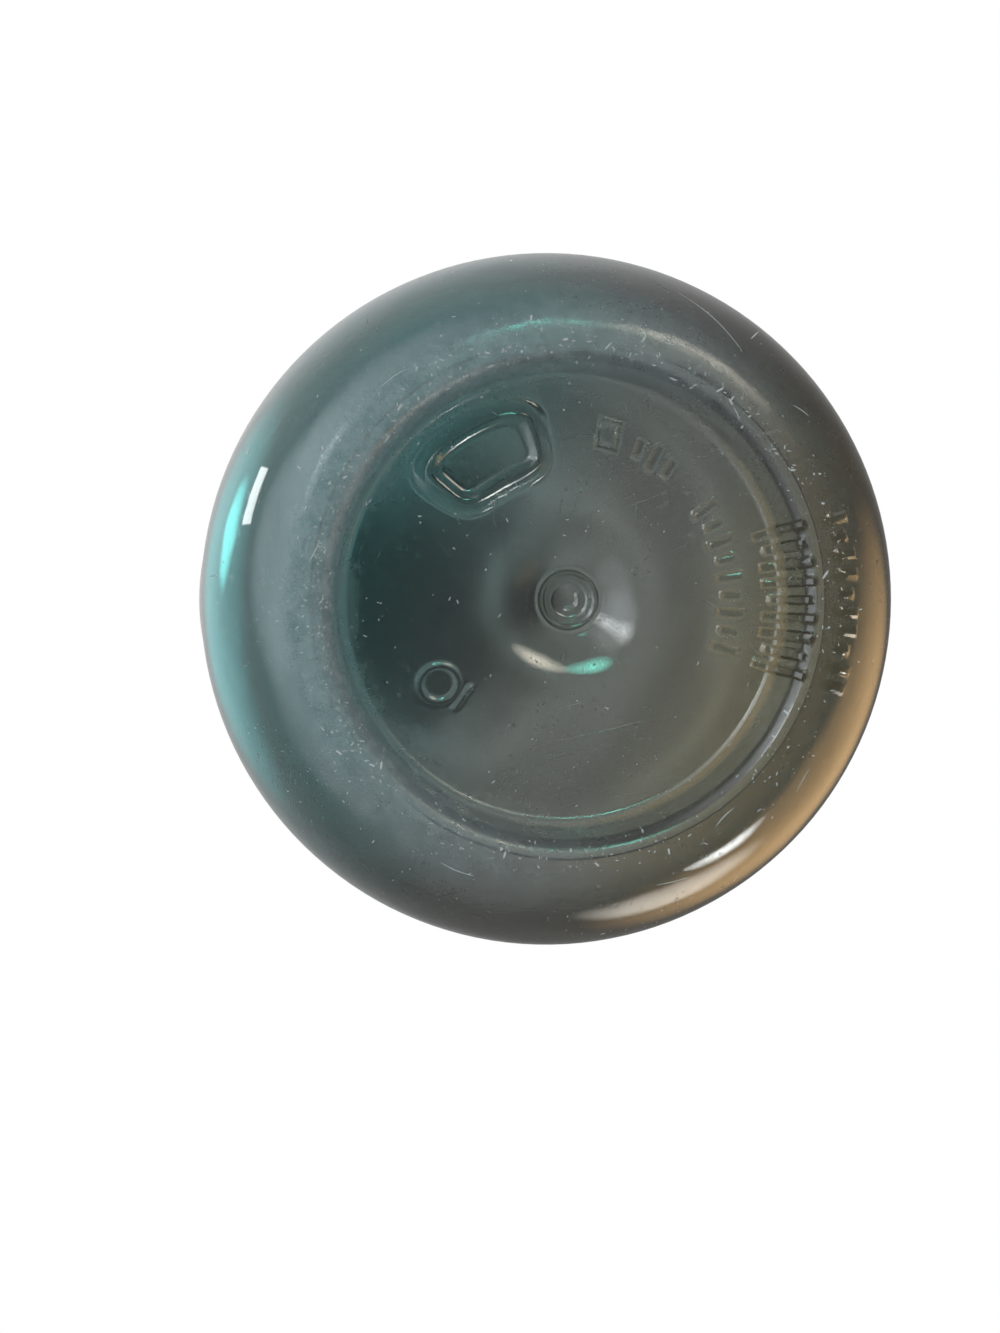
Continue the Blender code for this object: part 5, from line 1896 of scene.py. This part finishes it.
@dataclass
class Pins:
    """The steel hinge pin and the two rivets that the loop turns on."""

    datum: Datum
    pin_r: float = 0.0014
    pin_half_length: float = 0.0081
    rivet_r: float = 0.0020
    rivet_depth: float = 0.0027
    head_foot: float = 0.0038
    head_r: float = 0.0038
    head_h: float = 0.0015
    head_edge: float = 0.0005
    dimple_r: float = 0.0012
    dimple: float = 0.0003

    def build_pin(self, finishes: Finishes) -> None:
        """Builds the hinge pin."""
        half = self.pin_half_length
        corners = [(0, -half), (self.pin_r, -half, 0.0004), (self.pin_r, half, 0.0004), (0, half)]
        pin = turned("pin_of_hinge", rounded(corners, closed=False), 48)
        lay_along_x(pin, (0, self.datum.hinge_y, self.datum.hinge_z))
        finishes.dress(pin, Slot.STEEL, "closure", "hinge_pin")

    def build_rivet(self, finishes: Finishes, pad_x: float, side: str) -> None:
        """Builds the rivet of one side, with a low head that has a small dimple."""
        rise, top = self.head_h - self.head_edge, self.head_foot + self.head_h
        dome = [
            (self.head_r * cos(t), self.head_foot + self.head_edge + rise * sin(t))
            for t in stations(0, radians(72), 10)
        ]
        corners = [
            (0, -self.rivet_depth),
            (self.rivet_r, -self.rivet_depth, 0.0003),
            (self.rivet_r, self.head_foot),
            (self.head_r, self.head_foot, 0.0001),
            *dome,
            (self.dimple_r - self.dimple, top - self.dimple, 0.0001),
            (0, top - self.dimple),
        ]
        rivet = turned("steel_rivet_" + side, rounded(corners, closed=False), 64)
        place = (-pad_x if side == "left" else pad_x, 0, self.datum.pivot_z)
        lay_along_x(rivet, place, side == "left")
        finishes.dress(rivet, Slot.STEEL, "closure", "loop_rivet_" + side)

    def build(self, finishes: Finishes, collar: ScrewCollar) -> None:
        """Builds and dresses the pin and the rivets."""
        self.build_pin(finishes)
        for side in ("left", "right"):
            self.build_rivet(finishes, collar.pad_x, side)


@dataclass
class CarryLoop:
    """The moulded loop, a flat strap bent over the closure with an eye round each rivet."""

    datum: Datum
    arm_in_x: float = 0.03015
    strap_t: float = 0.0032
    strap_w: float = 0.0090
    arm_h: float = 0.0140
    eye_r: float = 0.0060
    eye_bore_r: float = 0.0022
    corner: float = 0.0012
    round_start: float = 0.0015
    round_length: float = 0.0045
    middle_reach: float = 0.003

    def lies_at(self) -> float:
        """Returns the loop's angle below level at rest, read from the part's own loop."""
        node = frame["nodes"]["carry_loop"]
        points = [node.matrix_world @ vert.co for vert in node.data.vertices]
        middle = [point for point in points if abs(point.x) < self.middle_reach]
        y = sum(point.y for point in middle) / len(middle)
        z = sum(point.z for point in middle) / len(middle)
        return atan2(self.datum.pivot_z - z, y)

    def section(self, half_w: float, half_t: float) -> Points:
        """Returns the strap's rounded section."""
        radius = min(self.corner, 0.9 * half_w, 0.9 * half_t)
        corners = [
            (-half_t, -half_w, radius),
            (half_t, -half_w, radius),
            (half_t, half_w, radius),
            (-half_t, half_w, radius),
        ]
        return rounded(corners)

    def build(self, finishes: Finishes) -> None:
        """Builds and dresses the loop, laid on the shoulder as the part's own loop is."""
        half_w, half_t = self.strap_w / 2, self.strap_t / 2
        reach = self.arm_in_x + half_t
        ends = [self.eye_r * -cos(t) for t in stations(0, pi / 2, 14)]
        shares = [min(z + self.round_start, 0) / self.round_length for z in ends]
        arm = [(z, half_w * sqrt(max(1 - share**2, 0.01))) for z, share in zip(ends, shares)]
        arm += [(z, half_w) for z in stations(0, self.arm_h, 6)[1:]]
        stops = [(reach, z, 0.0, w) for z, w in arm]
        for t in stations(0, pi, 72)[1:-1]:
            stops.append((reach * cos(t), self.arm_h + reach * sin(t), t, half_w))
        stops += [(-reach, z, pi, w) for z, w in reversed(arm)]
        centres = [Vector((x, 0, z)) for x, z, _, _ in stops]
        outwards = [Vector((cos(t), 0, sin(t))) for _, _, t, _ in stops]
        sections = [self.section(w, half_t) for _, _, _, w in stops]
        loop = swept("strap_loop", centres, outwards, [Vector((0, 1, 0))] * len(stops), sections)
        bore = lay_along_x(round_bar("eye_bores", self.eye_bore_r, -2 * reach, 2 * reach), (0, 0, 0))
        combine(loop, bore, Cut.DIFFERENCE)
        lean = Matrix.Rotation(-(pi / 2 + self.lies_at()), 4, "X")
        loop.data.transform(Matrix.Translation((0, 0, self.datum.pivot_z)) @ lean)
        finishes.dress(loop, Slot.TEAL, "loop", "carry_loop")


@dataclass
class PhotoCamera:
    """The camera below the base, a little to the left of the bottle's axis."""

    distance: float = 0.300
    tilt: float = radians(8.7)
    lens_px: float = 2620.0
    frame_width_px: int = 1000
    frame_height_px: int = 1333
    base_x_px: float = 572.0
    base_y_px: float = 600.0
    sensor: float = 36.0

    def build(self) -> None:
        """Makes the camera and aims it so that the base's middle falls where the photograph has it."""
        forward = Vector((sin(self.tilt), 0, cos(self.tilt)))
        right = Vector((cos(self.tilt), 0, -sin(self.tilt)))
        up = Vector((0, -1, 0))
        off_right = (self.base_x_px - self.frame_width_px / 2) / self.lens_px * self.distance
        off_up = (self.frame_height_px / 2 - self.base_y_px) / self.lens_px * self.distance
        place = -forward * self.distance
        ahead = (-off_right * right - off_up * up - place).normalized()
        side = ahead.cross(up).normalized()
        turn = Matrix((side, side.cross(ahead), -ahead)).transposed()
        data = bpy.data.cameras.new("photo_camera")
        data.sensor_width = self.sensor
        data.lens = self.lens_px / self.frame_height_px * self.sensor
        data.clip_start, data.clip_end = 0.01, 50.0
        camera = bpy.data.objects.new("photo_camera", data)
        bpy.context.scene.collection.objects.link(camera)
        camera.matrix_world = Matrix.Translation(place) @ turn.to_4x4()
        bpy.context.scene.camera = camera


@dataclass(frozen=True)
class Glow:
    """A soft patch of light round a direction, which only glossy surfaces show.

    It is full within the inner angle and gone beyond the outer one, both in degrees.
    """

    towards: Point
    inner: float
    outer: float
    strength: float
    colour: Colour

    def add(self, tree: Tree, heading: Socket, shown: Socket) -> Socket:
        """Adds the patch to what glossy surfaces reflect, and returns the sum."""
        length = hypot(*self.towards)
        unit = tuple(c / length for c in self.towards)
        near = tree.vector("DOT_PRODUCT", heading, unit)
        share = tree.spread(near, cos(radians(self.outer)), cos(radians(self.inner)))
        patch = tree.blend(share, (0.0, 0.0, 0.0), self.colour)
        return tree.vector("MULTIPLY_ADD", patch, (self.strength,) * 3, shown)


class LampShape(Enum):
    """Outlines of a lamp."""

    SQUARE = "SQUARE"
    DISK = "DISK"


class Unseen(Enum):
    """Kinds of ray that don't see a lamp."""

    BY_GLOSS = ("glossy", "transmission")
    BY_MATT = ("diffuse", "transmission")
    BY_ALL_BUT_GLOSS = ("camera", "diffuse", "transmission")


@dataclass(frozen=True)
class Lamp:
    """An area lamp that faces a point on the bottle."""

    name: str
    place: Point
    size: float
    watts: float
    unseen: Unseen
    colour: Colour = WHITE
    aim: Point = (0.0, 0.0, 0.08)
    shape: LampShape = LampShape.SQUARE
    beam: float = pi

    @classmethod
    def glint(
        cls,
        name: str,
        towards: Point,
        size: float,
        watts: float,
        colour: Colour,
        aim: Point,
        beam: float = 26.0,
    ) -> "Lamp":
        """Plans a small round lamp near the base, which only the gloss that it aims at shows.

        Args:
            name: The lamp's name.
            towards: Direction from what it aims at to the lamp.
            size: Its diameter.
            watts: Its power.
            colour: Its colour.
            aim: The point that it faces.
            beam: How wide its light spreads, in degrees.

        Returns:
            The lamp.
        """
        place = Vector(aim) + GLINT_DISTANCE * Vector(towards).normalized()
        unseen, shape = Unseen.BY_ALL_BUT_GLOSS, LampShape.DISK
        return cls(name, tuple(place), size, watts, unseen, colour, aim, shape, radians(beam))

    def build(self) -> None:
        """Hangs the lamp and aims it."""
        data = bpy.data.lights.new(self.name, "AREA")
        data.shape, data.size, data.spread = self.shape.value, self.size, self.beam
        data.energy, data.color = self.watts, self.colour
        lamp = bpy.data.objects.new(self.name, data)
        bpy.context.scene.collection.objects.link(lamp)
        lamp.location = self.place
        ahead = Vector(self.aim) - Vector(self.place)
        lamp.rotation_euler = ahead.to_track_quat("-Z", "Y").to_euler()
        for ray in self.unseen.value:
            setattr(lamp, "visible_" + ray, False)


@dataclass
class Studio:
    """A pale floor that is clear from below, soft lamps and a white background."""

    floor_radius: float = 3.0
    floor_colour: Colour = (0.80, 0.80, 0.79)
    floor_grain: float = 0.985
    floor_roughness: float = 0.7
    floor_gap: float = 0.0002
    fade: Span = (0.25, 0.9)
    ambient: float = 0.62
    under: float = 0.25
    under_height: Span = (-0.35, 0.25)
    bright_side: Point = (-0.75, -0.60, 0.25)
    dark_level: float = 0.14
    dark_side: Span = (-0.2, 0.8)
    lamps: tuple[Lamp, ...] = (
        Lamp("key_lamp", (-0.90, -0.90, 1.10), 1.10, 16.0, Unseen.BY_GLOSS),
        Lamp("fill_lamp", (1.20, -0.50, 0.70), 1.20, 8.0, Unseen.BY_GLOSS),
        Lamp("rim_lamp", (0.40, 1.10, 0.90), 1.00, 7.0, Unseen.BY_GLOSS),
        Lamp("window_lamp", (-0.86, -0.34, 0.40), 0.19, 1.0, Unseen.BY_MATT, (0.95, 1.0, 1.0)),
    )
    bowl: Point = (0.0012, 0.0060, 0.0080)
    bowl_side: Point = (0.0060, 0.0030, 0.0080)
    boss_frame: Point = (-0.0095, -0.0168, 0.0065)
    glows: tuple[Glow, ...] = (
        Glow((-0.87, -0.22, -0.42), 12, 38, 2.7, (0.86, 0.95, 1.0)),
        Glow((-0.58, -0.66, -0.48), 6, 30, 1.5, (0.90, 0.96, 1.0)),
        Glow((-0.76, 0.42, -0.48), 6, 30, 1.0, (0.90, 0.96, 1.0)),
        Glow((-0.72, 0.0, 0.68), 8, 34, 1.1, (0.16, 0.95, 1.0)),
        Glow((-0.72, -0.17, 0.66), 2, 10, 4.5, (0.20, 1.0, 0.95)),
        Glow((0.87, 0.52, 0.27), 14, 48, 2.3, (1.0, 0.63, 0.28)),
        Glow((0.46, 0.85, 0.26), 3, 19, 3.6, (1.0, 0.98, 0.90)),
    )

    def glints(self) -> tuple[Lamp, ...]:
        """Returns the lamps below the base that give the glints in its bowl and on its boss."""
        pale, cream, green = (0.95, 1.0, 1.0), (1.0, 0.93, 0.76), (0.22, 1.0, 0.78)
        return (
            Lamp.glint("cream_glint", (0.40, -0.54, -0.74), 0.074, 0.0028, cream, self.bowl),
            Lamp.glint("green_glint", (0.04, -0.63, -0.77), 0.054, 0.0016, green, self.bowl),
            Lamp.glint("bowl_glint", (-0.54, -0.40, -0.74), 0.062, 0.0011, pale, self.bowl_side),
            Lamp.glint("frame_glint", (0.62, 0.74, -0.22), 0.046, 0.0009, pale, self.boss_frame, 18.0),
        )

    def floor(self) -> None:
        """Makes the floor, which can't be seen from below and casts nothing on what stands on it."""
        skin = RingMesh()
        skin.pole(-self.floor_gap)
        skin.ring(even_columns(96), self.floor_radius, -self.floor_gap)
        floor = skin.build("studio_floor")
        floor.data.flip_normals()
        material, tree, shader, place = new_material("pale_floor")
        grain = tree.noise(place, 60.0, Detail=3.0)
        shade = tree.blend(grain, darker(self.floor_colour, self.floor_grain), self.floor_colour)
        tree.feed(shader, Base_Color=shade, Roughness=self.floor_roughness)
        path = tree.node("LightPath").outputs
        seen = tree.math("MAXIMUM", path["Is Camera Ray"], path["Is Transmission Ray"])
        far = tree.product(tree.spread(tree.vector("LENGTH", place), *self.fade), seen)
        top = tree.node("MixShader", Fac=far, i1=shader, i2=tree.node("Emission", Strength=1.0))
        behind = tree.node("NewGeometry").outputs["Backfacing"]
        tree.put_out(Surface=tree.node("MixShader", Fac=behind, i1=top, i2=tree.node("BsdfTransparent")))
        floor.data.materials.append(material)
        floor.visible_glossy = floor.visible_diffuse = floor.visible_shadow = False

    def world(self) -> None:
        """Makes the world: even light, with a white background that glass and gloss also show."""
        world = bpy.data.worlds.new("studio_world")
        bpy.context.scene.world = world
        world.use_nodes = True
        tree = Tree(world.node_tree)
        path = tree.node("LightPath").outputs
        clear = tree.math("MAXIMUM", path["Is Camera Ray"], path["Is Transmission Ray"])
        heading = tree.node("TexCoord").outputs["Generated"]
        lit = tree.vector("DOT_PRODUCT", heading, self.bright_side)
        level = tree.product(
            tree.spread(tree.height(heading), *self.under_height, self.under, 1.0),
            tree.spread(lit, *self.dark_side, self.dark_level, 1.0),
        )
        shown = tree.node("CombineXYZ", X=level, Y=level, Z=level).outputs[0]
        for glow in self.glows:
            shown = glow.add(tree, heading, shown)
        lit_or_shown = tree.blend(path["Is Glossy Ray"], (self.ambient,) * 3, shown)
        background = world.node_tree.nodes["Background"]
        tree.feed(background, Color=tree.blend(clear, lit_or_shown, WHITE), Strength=1.0)

    def build(self) -> None:
        """Builds the floor, the lamps and the world."""
        self.floor()
        for lamp in (*self.lamps, *self.glints()):
            lamp.build()
        self.world()


def set_view() -> None:
    """Keeps colours as they are written."""
    bpy.context.scene.view_settings.view_transform = "Standard"


def build_closure(datum: Datum, body: ClearBody, finishes: Finishes) -> None:
    """Builds and dresses the closure's pieces."""
    collar = ScrewCollar(datum, Thread(body.thread.start_z - Thread.pitch / 2))
    latch, cap = Latch(datum), FlipCap(datum)
    collar.build(finishes, latch)
    latch.build_button(finishes)
    latch.build_spring(finishes)
    cap.build(finishes, collar, latch)
    Seals(datum).build(finishes, collar, cap)
    Pins(datum).build(finishes, collar)
    CarryLoop(datum).build(finishes)


def main() -> None:
    """Builds the camera, the studio and the pieces in order."""
    logging.basicConfig(level=logging.INFO, format="%(message)s")
    set_view()
    PhotoCamera().build()
    Studio().build()
    datum = Datum.from_part()
    finishes = Finishes.build()
    body = ClearBody(datum)
    Wear().build(finishes, body, body.build(finishes))
    build_closure(datum, body, finishes)


if __name__ == "__main__":
    main()
